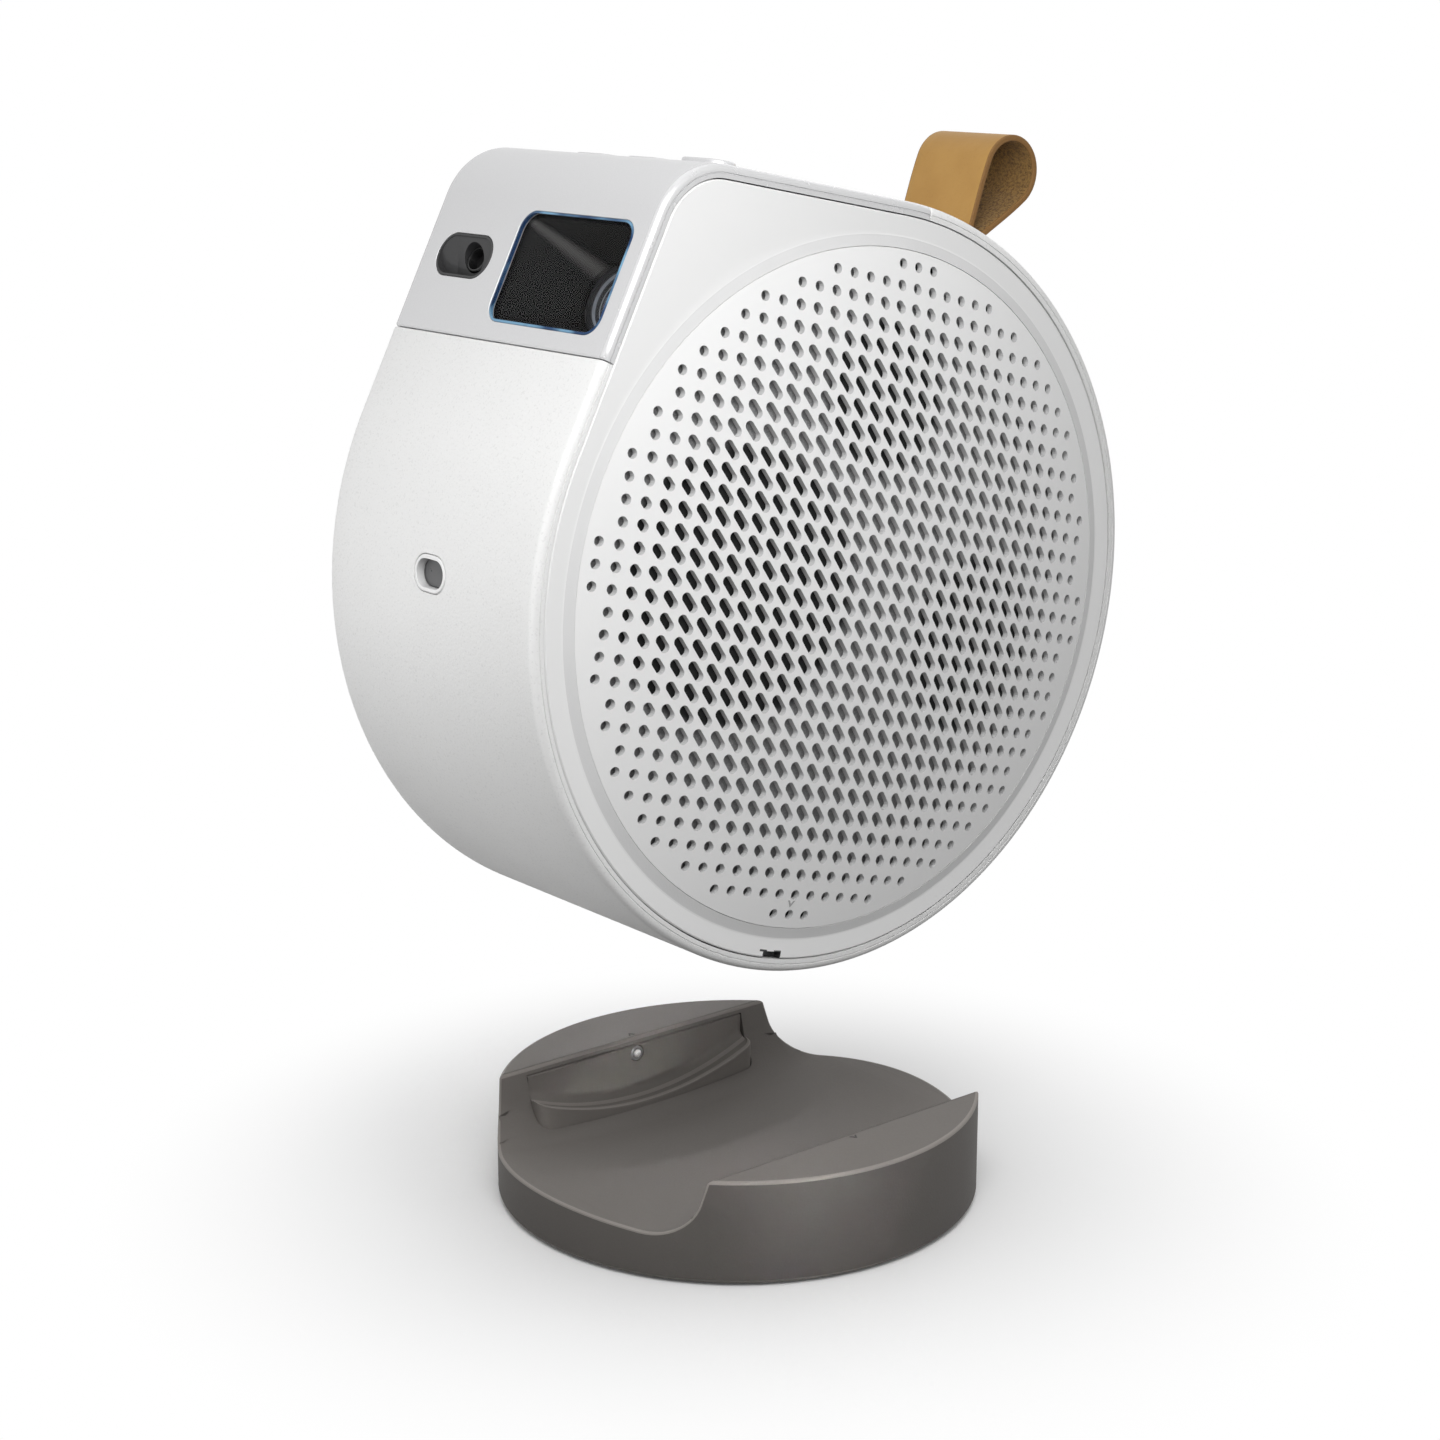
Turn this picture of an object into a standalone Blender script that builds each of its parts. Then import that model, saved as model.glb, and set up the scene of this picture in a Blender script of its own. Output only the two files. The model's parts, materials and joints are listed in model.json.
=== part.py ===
"""Portable drum projector above its round dock.

Metres, +Z up. The origin is the centre of the dock's underside. The drum lies along X with its
grilles at both ends, and its lens looks towards -Y. The drum is shown lifted off the dock, leaning back.
"""
import math

import bmesh
import bpy
from mathutils import Vector

# Drum: angles are counted about the drum's axis, from straight ahead (-Y) up and over to the back
DRUM_RADIUS = 0.0925
DRUM_HALF_WIDTH = 0.0412
EDGE_AXIAL = 0.0020
EDGE_RADIAL = 0.0024
BAND_WALL = 0.00315
FACET_ANGLE = math.radians(13.6)
TOP_ANGLE = math.radians(87.3)
CORNER_RADIUS = 0.0183
PANEL_TAIL = math.radians(4.5)
PANEL_SEAM = 0.0214
CLEARANCE = 0.0003

# Side covers and grilles
COVER_THICKNESS = 0.0025
COVER_RIM = 0.0110
COVER_RISE = 0.0005
GROOVE_WIDTH = 0.0027
GROOVE_DEPTH = 0.0007
GRILLE_PROUD = 0.0001
GRILLE_DOME = 0.0081
GRILLE_THICKNESS = 0.0016
GRILLE_SKIRT = 0.0015
GRILLE_EDGE = 0.0003
HOLE_PITCH = 0.0158
HOLE_BORDER = 0.0040
HOLE_SMALL = 0.0034
SLOT_LENGTH = 0.0132
SLOT_WIDTH = 0.0072
SLOT_ANGLE = math.radians(45)
SLOT_SHOULDER = 0.0012
NOTCH_ANGLE = math.radians(-87.9)
NOTCH_WIDTH = 0.0070
NOTCH_HEIGHT = 0.0017
NOTCH_DEPTH = 0.0019

# Loudspeakers
BAFFLE_THICKNESS = 0.0020
BAFFLE_LAP = 0.0045
DRIVER_RADIUS = 0.0330
DRIVER_SINK = 0.0008
FLANGE_WIDTH = 0.0025
FLANGE_THICKNESS = 0.0020
SURROUND_WIDTH = 0.0045
SURROUND_RISE = 0.0007
CONE_DEPTH = 0.0036
CAP_RADIUS = 0.0090
CAP_RISE = 0.0016
BASKET_DEPTH = 0.0090
MAGNET_RADIUS = 0.0210
MAGNET_LENGTH = 0.0120
MAGNET_BEVEL = 0.0012

# Projection window and lens, behind the facet
WINDOW_WIDTH = 0.0407
WINDOW_HEIGHT = 0.0270
WINDOW_CORNER = 0.0048
WINDOW_MARGIN = 0.0055
WINDOW_ALONG = 0.0401
GLASS_SINK = 0.0004
GLASS_THICKNESS = 0.0016
SHROUD_WALL = 0.0012
SHROUD_DEPTH = 0.0165
BARREL_RADIUS = 0.0090
BARREL_LENGTH = 0.0189
LENS_RADIUS = 0.0060
LENS_THICKNESS = 0.0036
LENS_DOME = 0.0014
ENGINE_WIDTH = 0.0280
ENGINE_HEIGHT = 0.0240
ENGINE_LENGTH = 0.0340
ENGINE_CORNER = 0.0020

# Cooling
SINK_OFFSET = 0.0085
SINK_WIDTH = 0.0270
SINK_LENGTH = 0.0297
SINK_BASE = 0.0040
SINK_FINS = 6
FAN_DEPTH = 0.0090
FAN_PLATE = 0.0012
FAN_WALL = 0.0013
FAN_CORNER = 0.0030
FAN_TIP_GAP = 0.0004
FAN_HUB = 0.0062
FAN_BLADES = 7
FAN_TWIST = math.radians(24)
FAN_VENTS = 6
FAN_VENT_RADIUS = 0.0030

# Focus sensor
SENSOR_X = -0.0226
SENSOR_ALONG = 0.04075
SENSOR_LENGTH = 0.0212
SENSOR_WIDTH = 0.0113
SENSOR_WALL = 0.0006
SENSOR_DEPTH = 0.0070
SENSOR_FLOOR = 0.0023
SENSOR_SLOPE = 0.389
SENSOR_LENS_RADIUS = 0.0035
SENSOR_LENS_X = 0.0009
SENSOR_LENS_ALONG = 0.00055
SENSOR_LENS_WALL = 0.0006
SENSOR_LENS_DEPTH = 0.0020

# Remote-control receiver
IR_ANGLE = math.radians(-7.1)
IR_X = 0.0010
IR_LENGTH = 0.0120
IR_HEIGHT = 0.0093
IR_INNER_LENGTH = 0.0100
IR_INNER_HEIGHT = 0.0062
IR_DEPTH = 0.0050
IR_FLOOR = 0.0007
IR_SINK = 0.0026

# Keys
KEY_LENGTH = 0.0150
KEY_WIDTH = 0.0080
KEY_PITCH = 0.0200
KEY_SETBACK = 0.0442
KEY_RISE = 0.0019
KEY_EDGE = 0.0005
KEY_ROOT = 0.0028
KEY_TRAVEL = 0.0006
BOARD_THICKNESS = 0.0016
KEY_BOARD_WIDTH = 0.0120

# Carrying loop, as a folded strip
LOOP_ANGLE = math.radians(116.6)
LOOP_WIDTH = 0.0260
LOOP_THICKNESS = 0.0022
LOOP_BULB = 0.00815
LOOP_HEIGHT = 0.03015
LOOP_NECK = 0.0065
LOOP_ROOT = 0.0080
CLAMP_WALL = 0.0020

# Middle plate, board and cells
CHASSIS_THICKNESS = 0.0030
CHASSIS_INSET = 0.0125
CHASSIS_TABS = (math.radians(-45), math.radians(150), math.radians(225))
TAB_HALF_ANGLE = math.radians(5)
MAIN_BOARD_LENGTH = 0.0900
MAIN_BOARD_HEIGHT = 0.0700
MAIN_BOARD_RISE = 0.0120
CELL_RADIUS = 0.0090
CELL_LENGTH = 0.0680
CELL_COUNT = 2
CELL_MARGIN = 0.0050

# Connections at the back
PORT_ANGLE = math.radians(180)
PORT_LENGTH = 0.0440
PORT_HEIGHT = 0.0140
PORT_CORNER = 0.0030
PORT_SINK = 0.0016
PORT_THICKNESS = 0.0030
SOCKET_DEPTH = 0.0115
SOCKET_WALL = 0.0005
SOCKET_FLOOR = 0.0010
HDMI_X = -0.0125
HDMI_LENGTH = 0.0150
HDMI_HEIGHT = 0.0056
HDMI_CHAMFER = 0.0015
USB_X = 0.0015
USB_LENGTH = 0.0092
USB_HEIGHT = 0.0034
AUDIO_X = 0.0105
AUDIO_RADIUS = 0.0027
POWER_X = 0.0175
POWER_RADIUS = 0.0033

# Dock
DOCK_RADIUS = 0.0625
DOCK_EDGE = 0.0010
CREST_HEIGHT = 0.0272
CREST_GAP = 0.0018
CHANNEL_WALL_ANGLE = math.radians(77)
CHANNEL_FILLET = 0.0130
FLOOR_LOW = 0.0075
FLOOR_RIM = 0.0140
LIP_HEIGHT = 0.0115
LIP_REACH = 0.0064
SEAT_GAP = 0.0006
CRADLE_GAP = 0.0013
CRADLE_HALF_LENGTH = 0.0365
CRADLE_TOP = 0.0252
CRADLE_BACK = 0.0040
CRADLE_BASE = 0.0066
CONTACT_HEIGHT = 0.0226
CONTACT_RADIUS = 0.0012
CONTACT_RISE = 0.0007
CONTACT_LENGTH = 0.0048
CONTACT_TRAVEL = 0.0005
SLEEVE_WALL = 0.0005
SLEEVE_LENGTH = 0.0096
SHELL_BOTTOM = 0.0005
CAVITY_WALL = 0.0045
CAVITY_ROOF = 0.0050
FOOT_THICKNESS = 0.0009
FOOT_INSET = 0.0030
BASE_THICKNESS = 0.0016
BALLAST_INSET = 0.0100
SCREW_COUNT = 3
SCREW_INSET = 0.0100
SCREW_HEAD_RADIUS = 0.0026
SCREW_HEAD = 0.0012
SCREW_RADIUS = 0.0014
SCREW_LENGTH = 0.0033

# Pose shown: lifted and leaning back
LIFT = 0.0595
TILT = math.radians(13.6)

# Facets
ARC_STEP = math.radians(6)
CORNER_STEP = math.radians(10.6)
EDGE_STEPS = 3
DISC_STEPS = 36
DOME_STEPS = 3
ROUND_STEPS = 16
END_STEPS = 5
SMOOTH_LIMIT = math.radians(35)

# Sizes that follow from those above
PANEL_REAR = TOP_ANGLE + PANEL_TAIL
CORNER_MIDDLE = (FACET_ANGLE + TOP_ANGLE) / 2
CORNER_HALF = (TOP_ANGLE - FACET_ANGLE) / 2
CORNER_REACH = (DRUM_RADIUS - CORNER_RADIUS) / math.cos(CORNER_HALF)
FLAT_LENGTH = (DRUM_RADIUS - CORNER_RADIUS) * math.tan(CORNER_HALF)
COVER_BACK = DRUM_HALF_WIDTH - COVER_THICKNESS
COVER_CREST = DRUM_HALF_WIDTH + COVER_RISE
GRILLE_OPENING = DRUM_RADIUS - COVER_RIM
GRILLE_RADIUS = GRILLE_OPENING - CLEARANCE
BAFFLE_RADIUS = GRILLE_OPENING + BAFFLE_LAP
BAFFLE_FRONT = COVER_BACK - CLEARANCE
WINDOW_X = DRUM_HALF_WIDTH - WINDOW_MARGIN - WINDOW_WIDTH / 2
BARREL_FRONT = -SHROUD_DEPTH - CLEARANCE
ENGINE_FRONT = BARREL_FRONT - BARREL_LENGTH - CLEARANCE
SINK_FRONT = ENGINE_FRONT - ENGINE_LENGTH - CLEARANCE
FAN_FRONT = SINK_FRONT - SINK_LENGTH - CLEARANCE
KEY_BOARD_TOP = -KEY_ROOT - KEY_TRAVEL - CLEARANCE
LOOP_LEG = LOOP_THICKNESS / 2 + CLEARANCE / 2
LOOP_SLOT = 2 * (LOOP_LEG + LOOP_THICKNESS / 2 + CLEARANCE)
BAND_INSIDE = BAND_WALL + CLEARANCE
CHASSIS_RIGHT = WINDOW_X - ENGINE_WIDTH / 2 - CLEARANCE
CHASSIS_LEFT = CHASSIS_RIGHT - CHASSIS_THICKNESS
SEAT_RADIUS = DRUM_RADIUS + SEAT_GAP
SEAT_HEIGHT = LIP_HEIGHT + SEAT_RADIUS
REST_HEIGHT = SEAT_HEIGHT + LIFT
CREST_X = DRUM_HALF_WIDTH + CREST_GAP
CRADLE_FACE = DRUM_HALF_WIDTH + CRADLE_GAP
CRADLE_REAR = CRADLE_FACE + CRADLE_BACK
CAVITY_RADIUS = DOCK_RADIUS - CAVITY_WALL
SCREW_CIRCLE = DOCK_RADIUS - SCREW_INSET
BALLAST_RADIUS = CAVITY_RADIUS - BALLAST_INSET
BASE_BOTTOM = FOOT_THICKNESS + CLEARANCE
BASE_TOP = BASE_BOTTOM + BASE_THICKNESS

# Finishes: colour, roughness, metallic
SPECKLED_WHITE = ((0.84, 0.84, 0.83), 0.55, 0.0)
SMOOTH_WHITE = ((0.87, 0.87, 0.86), 0.40, 0.0)
SATIN_SILVER = ((0.62, 0.62, 0.63), 0.35, 0.6)
BLACK_PLASTIC = ((0.02, 0.02, 0.022), 0.45, 0.0)
DARK_PLASTIC = ((0.07, 0.07, 0.07), 0.40, 0.0)
GREY_PLASTIC = ((0.45, 0.45, 0.45), 0.45, 0.0)
DARK_GLASS = ((0.02, 0.03, 0.05), 0.05, 0.0)
TAN_LEATHER = ((0.42, 0.22, 0.06), 0.60, 0.0)
DOCK_GREY = ((0.13, 0.12, 0.11), 0.60, 0.0)
RUBBER = ((0.03, 0.03, 0.03), 0.85, 0.0)
BARE_METAL = ((0.60, 0.60, 0.60), 0.35, 1.0)
STEEL = ((0.48, 0.48, 0.50), 0.40, 1.0)
GOLD_PLATE = ((0.85, 0.68, 0.35), 0.30, 1.0)
CIRCUIT_GREEN = ((0.03, 0.16, 0.07), 0.50, 0.0)
CELL_WRAP = ((0.05, 0.12, 0.28), 0.45, 0.0)
CONE_PAPER = ((0.05, 0.05, 0.05), 0.80, 0.0)


def spread(start, end, step):
    """Evenly spaced values from start to end, no further apart than step."""
    count = max(1, math.ceil(abs(end - start) / step - 1e-6))
    return [start + (end - start) * i / count for i in range(count + 1)]


def outward(angle):
    """Direction away from the drum's axis at an angle."""
    return Vector((0.0, -math.cos(angle), math.sin(angle)))


def onward(angle):
    """Direction along the drum's skin at an angle, towards larger angles."""
    return Vector((0.0, math.sin(angle), math.cos(angle)))


# Outlines in a plane, as lists of points

def circle(radius, steps=ROUND_STEPS):
    turns = [math.tau * i / steps for i in range(steps)]
    return [(radius * math.cos(turn), radius * math.sin(turn)) for turn in turns]


def stadium(length, width, steps=END_STEPS):
    radius = width / 2
    reach = length / 2 - radius
    turns = spread(-math.pi / 2, math.pi / 2, math.pi / steps)
    right = [(reach + radius * math.cos(turn), radius * math.sin(turn)) for turn in turns]
    return right + [(-x, -y) for x, y in right]


def rounded_rect(width, height, radius, steps=3):
    points = []
    for quarter, (side, level) in enumerate(((1, 1), (-1, 1), (-1, -1), (1, -1))):
        for i in range(steps + 1):
            turn = math.pi / 2 * (quarter + i / steps)
            x = side * (width / 2 - radius) + radius * math.cos(turn)
            y = level * (height / 2 - radius) + radius * math.sin(turn)
            points.append((x, y))
    return points


def chamfered(length, height, chamfer):
    """A rectangle with its two lower corners cut off."""
    x = length / 2
    y = height / 2
    return [(-x, -y), (x, -y), (x, y - chamfer), (x - chamfer, y), (chamfer - x, y), (-x, y - chamfer)]


def comb(width, front, base, tip, count):
    """A row of fins on a common base."""
    pitch = width / (2 * count - 1)
    points = [(-width / 2, front), (width / 2, front)]
    for i in range(count):
        right = width / 2 - 2 * i * pitch
        left = right - pitch
        points += [(right, tip), (left, tip)]
        if i < count - 1:
            points += [(left, base), (left - pitch, base)]
    return points


def thickened(path, half):
    """Both sides of a path that has some thickness."""
    left = []
    right = []
    for i, point in enumerate(path):
        before = (point - path[i - 1]).normalized() if i else None
        after = (path[i + 1] - point).normalized() if i < len(path) - 1 else None
        before = before or after
        after = after or before
        lean = (before + after).normalized()
        side = Vector((-lean.y, lean.x)) * (half / lean.dot(after))
        left.append(point + side)
        right.append(point - side)
    return left + right[::-1]


# Solids

def loft(rings, closed=False):
    """Skin rings of equal length, capped at both ends or joined end to end."""
    mesh = bmesh.new()
    loops = [[mesh.verts.new(point) for point in ring] for ring in rings]
    pairs = list(zip(loops, loops[1:]))
    if closed:
        pairs.append((loops[-1], loops[0]))
    else:
        mesh.faces.new(loops[0])
        mesh.faces.new(loops[-1])
    for low, high in pairs:
        for i in range(len(low)):
            j = (i + 1) % len(low)
            mesh.faces.new((low[i], low[j], high[j], high[i]))
    bmesh.ops.recalc_face_normals(mesh, faces=mesh.faces)
    return mesh


def level(outline, height):
    return [(x, y, height) for x, y in outline]


def prism(outline, low, high):
    return loft([level(outline, low), level(outline, high)])


def crosswise(outline, left, right):
    """A prism along X from an outline in Y and Z."""
    return loft([[(x, y, z) for y, z in outline] for x in (left, right)])


def cup(outer, inner, floor, low, high):
    return loft([level(inner, floor), level(inner, high), level(outer, high), level(outer, low)])


def sleeve(outer, inner, low, high):
    rings = [level(outer, low), level(outer, high), level(inner, high), level(inner, low)]
    return loft(rings, closed=True)


def turned(profile, steps=ROUND_STEPS):
    return loft([level(circle(radius, steps), height) for radius, height in profile])


# Objects

def material(name, finish):
    colour, roughness, metallic = finish
    made = bpy.data.materials.new(name)
    made.use_nodes = True
    shader = made.node_tree.nodes["Principled BSDF"]
    shader.inputs["Base Color"].default_value = (*colour, 1.0)
    shader.inputs["Roughness"].default_value = roughness
    shader.inputs["Metallic"].default_value = metallic
    return made


def place(name, data, parent, location, rotation):
    item = bpy.data.objects.new(name, data)
    bpy.context.collection.objects.link(item)
    item.parent = parent
    item.location = location
    item.rotation_euler = rotation
    return item


def add(name, mesh, finish, parent=None, location=(0, 0, 0), rotation=(0, 0, 0)):
    data = bpy.data.meshes.new(name)
    mesh.to_mesh(data)
    mesh.free()
    data.shade_smooth()
    data.set_sharp_from_angle(angle=SMOOTH_LIMIT)
    data.materials.append(material(name, finish))
    return place(name, data, parent, location, rotation)


def guide(name, parent=None, location=(0, 0, 0), rotation=(0, 0, 0)):
    return place(name, None, parent, location, rotation)


def anchor(name, angle, parent):
    """A guide on the drum's skin: local X across, local Y along the skin, local Z outwards."""
    return guide(name, parent, outward(angle) * DRUM_RADIUS, (math.pi / 2 - angle, 0, 0))


def cut(targets, name, mesh, parent=None, location=(0, 0, 0), rotation=(0, 0, 0)):
    data = bpy.data.meshes.new(name)
    mesh.to_mesh(data)
    mesh.free()
    cutter = place(name, data, parent, location, rotation)
    cutter.hide_render = True
    cutter.display_type = "WIRE"
    for target in targets:
        step = target.modifiers.new(name, "BOOLEAN")
        step.operation = "DIFFERENCE"
        step.solver = "EXACT"
        step.object = cutter


# Drum shell: nodes hold a point of the skin and the direction away from it

def circle_node(angle):
    return outward(angle) * DRUM_RADIUS, outward(angle)


def facet_node(along):
    return outward(FACET_ANGLE) * DRUM_RADIUS + onward(FACET_ANGLE) * along, outward(FACET_ANGLE)


def top_node(along):
    return outward(TOP_ANGLE) * DRUM_RADIUS - onward(TOP_ANGLE) * along, outward(TOP_ANGLE)


def corner_node(angle):
    return outward(CORNER_MIDDLE) * CORNER_REACH + outward(angle) * CORNER_RADIUS, outward(angle)


def band_path():
    start = PANEL_REAR + CLEARANCE / DRUM_RADIUS
    around = [circle_node(angle) for angle in spread(start, math.tau + FACET_ANGLE, ARC_STEP)]
    return around + [facet_node(PANEL_SEAM)]


def panel_path():
    corner = [corner_node(angle) for angle in spread(FACET_ANGLE, TOP_ANGLE, CORNER_STEP)]
    tail = [circle_node(angle) for angle in spread(TOP_ANGLE, PANEL_REAR, ARC_STEP)]
    return [facet_node(PANEL_SEAM + CLEARANCE)] + corner + tail


def whole_path():
    corner = [corner_node(angle) for angle in spread(FACET_ANGLE, TOP_ANGLE, CORNER_STEP)]
    around = [circle_node(angle) for angle in spread(TOP_ANGLE, math.tau + FACET_ANGLE, ARC_STEP)]
    flat = spread(0, FLAT_LENGTH, DRUM_RADIUS * ARC_STEP)[1:-1]
    top = [top_node(along) for along in reversed(flat)]
    return corner + top + around + [facet_node(along) for along in flat]


def shell_section():
    """Cross-section of the band and the panel: across the drum, and out from the skin."""
    half = []
    for i in range(EDGE_STEPS + 1):
        turn = math.pi / 2 * i / EDGE_STEPS
        x = DRUM_HALF_WIDTH - EDGE_AXIAL * (1 - math.sin(turn))
        half.append((x, EDGE_RADIAL * (math.cos(turn) - 1)))
    half.append((DRUM_HALF_WIDTH, -BAND_WALL))
    return half + [(-x, out) for x, out in reversed(half)]


def shell(path):
    section = shell_section()
    return loft([[point + normal * out + Vector((x, 0, 0)) for x, out in section] for point, normal in path])


def cover(side):
    rim = [point - normal * BAND_INSIDE for point, normal in whole_path()]

    def ring(points, x):
        return [(side * x, point.y, point.z) for point in points]

    def round_ring(radius, x):
        return ring([point.normalized() * radius for point in rim], x)

    rings = [
        ring(rim, COVER_BACK),
        ring(rim, DRUM_HALF_WIDTH),
        round_ring(GRILLE_OPENING + GROOVE_WIDTH, COVER_CREST),
        round_ring(GRILLE_OPENING, COVER_CREST - GROOVE_DEPTH),
        round_ring(GRILLE_OPENING, COVER_BACK),
    ]
    return loft(rings, closed=True)


def grille_face(radius):
    """How far out the grille's domed face lies at a distance from the drum's axis."""
    return COVER_CREST + GRILLE_PROUD + GRILLE_DOME * (1 - (radius / GRILLE_RADIUS) ** 2)


def grille():
    inside = GRILLE_RADIUS - GRILLE_SKIRT
    dome = [GRILLE_RADIUS * i / DOME_STEPS for i in range(1, DOME_STEPS)]
    profile = [(radius, grille_face(radius) - GRILLE_THICKNESS) for radius in dome]
    profile += [
        (inside, grille_face(inside) - GRILLE_THICKNESS),
        (inside, COVER_BACK),
        (GRILLE_RADIUS, COVER_BACK),
        (GRILLE_RADIUS, grille_face(GRILLE_RADIUS) - GRILLE_EDGE),
        (GRILLE_RADIUS - GRILLE_EDGE, grille_face(GRILLE_RADIUS)),
    ]
    profile += [(radius, grille_face(radius)) for radius in reversed(dome)]
    return turned(profile, DISC_STEPS)


def slot_outline(length, width):
    """A slanting slot of six points, or of four where it is nearly as short as it is wide."""
    tip = length / 2
    side = width / 2
    shoulder = tip - side
    points = [(tip, 0), (shoulder, side), (-shoulder, side), (-tip, 0), (-shoulder, -side), (shoulder, -side)]
    if shoulder < SLOT_SHOULDER:
        points = [(tip, 0), (0, side), (-tip, 0), (0, -side)]
    turn = Vector((math.cos(SLOT_ANGLE), math.sin(SLOT_ANGLE)))
    return [(x * turn.x - y * turn.y, x * turn.y + y * turn.x) for x, y in points]


def perforation():
    """Prisms on a square grid: small holes at the border that grow into slanting slots at the middle."""
    mesh = bmesh.new()
    field = GRILLE_RADIUS - GRILLE_SKIRT - HOLE_BORDER
    reach = math.ceil(field / HOLE_PITCH)
    low = COVER_BACK
    high = grille_face(0) + COVER_THICKNESS
    for row in range(-reach, reach + 1):
        for column in range(-reach, reach + 1):
            x = row * HOLE_PITCH
            y = column * HOLE_PITCH
            share = math.hypot(x, y) / field
            if share > 1:
                continue
            swell = max(0.0, min(1.0, 1.6 * (1 - share)))
            length = HOLE_SMALL + (SLOT_LENGTH - HOLE_SMALL) * swell
            width = HOLE_SMALL + (SLOT_WIDTH - HOLE_SMALL) * swell
            outline = [(x + dx, y + dy) for dx, dy in slot_outline(length, width)]
            bottom = mesh.faces.new([mesh.verts.new((px, py, low)) for px, py in outline])
            made = bmesh.ops.extrude_face_region(mesh, geom=[bottom])["geom"]
            top = [item for item in made if isinstance(item, bmesh.types.BMVert)]
            bmesh.ops.translate(mesh, verts=top, vec=(0, 0, high - low))
    bmesh.ops.recalc_face_normals(mesh, faces=mesh.faces)
    return mesh


def build_shell(projector):
    band = add("drum_band", shell(band_path()), SPECKLED_WHITE, projector)
    panel = add("top_panel", shell(panel_path()), SATIN_SILVER, projector)
    for name, side in (("right", 1), ("left", -1)):
        plate = add(name + "_cover", cover(side), SMOOTH_WHITE, projector)
        facing = (0, side * math.pi / 2, 0)
        disc = add(name + "_grille", grille(), SMOOTH_WHITE, projector, rotation=facing)
        cut([disc], name + "_perforation", perforation(), projector, rotation=facing)
        if side > 0:
            build_notch(plate, projector)
    return band, panel


def build_notch(plate, projector):
    """A small pry notch in the rim of the right cover."""
    rim = DRUM_RADIUS - BAND_INSIDE
    spot = outward(NOTCH_ANGLE) * (rim - NOTCH_HEIGHT + EDGE_RADIAL)
    spot.x = DRUM_HALF_WIDTH
    outline = rounded_rect(2 * NOTCH_DEPTH, NOTCH_WIDTH, CLEARANCE, 1)
    tool = prism(outline, -EDGE_RADIAL, EDGE_RADIAL)
    cut([plate], "pry_notch", tool, projector, spot, (math.pi / 2 - NOTCH_ANGLE, 0, 0))


def build_loudspeakers(projector):
    face = BAFFLE_FRONT - DRIVER_SINK
    flange = DRIVER_RADIUS - FLANGE_WIDTH
    back = face - FLANGE_THICKNESS - BASKET_DEPTH
    profile = [
        (CAP_RADIUS / 2, face - CONE_DEPTH + CAP_RISE),
        (CAP_RADIUS, face - CONE_DEPTH),
        (flange - SURROUND_WIDTH, face),
        (flange - SURROUND_WIDTH / 2, face + SURROUND_RISE),
        (flange, face),
        (DRIVER_RADIUS, face),
        (DRIVER_RADIUS, face - FLANGE_THICKNESS),
        (flange, face - FLANGE_THICKNESS),
        (MAGNET_RADIUS, back),
        (MAGNET_RADIUS, back - MAGNET_LENGTH + MAGNET_BEVEL),
        (MAGNET_RADIUS - MAGNET_BEVEL, back - MAGNET_LENGTH),
    ]
    opening = circle(DRIVER_RADIUS + CLEARANCE, DISC_STEPS)
    plate = circle(BAFFLE_RADIUS, DISC_STEPS)
    for name, side in (("right", 1), ("left", -1)):
        facing = (0, side * math.pi / 2, 0)
        baffle = sleeve(plate, opening, BAFFLE_FRONT - BAFFLE_THICKNESS, BAFFLE_FRONT)
        add(name + "_baffle", baffle, BLACK_PLASTIC, projector, rotation=facing)
        add(name + "_driver", turned(profile), CONE_PAPER, projector, rotation=facing)


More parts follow.
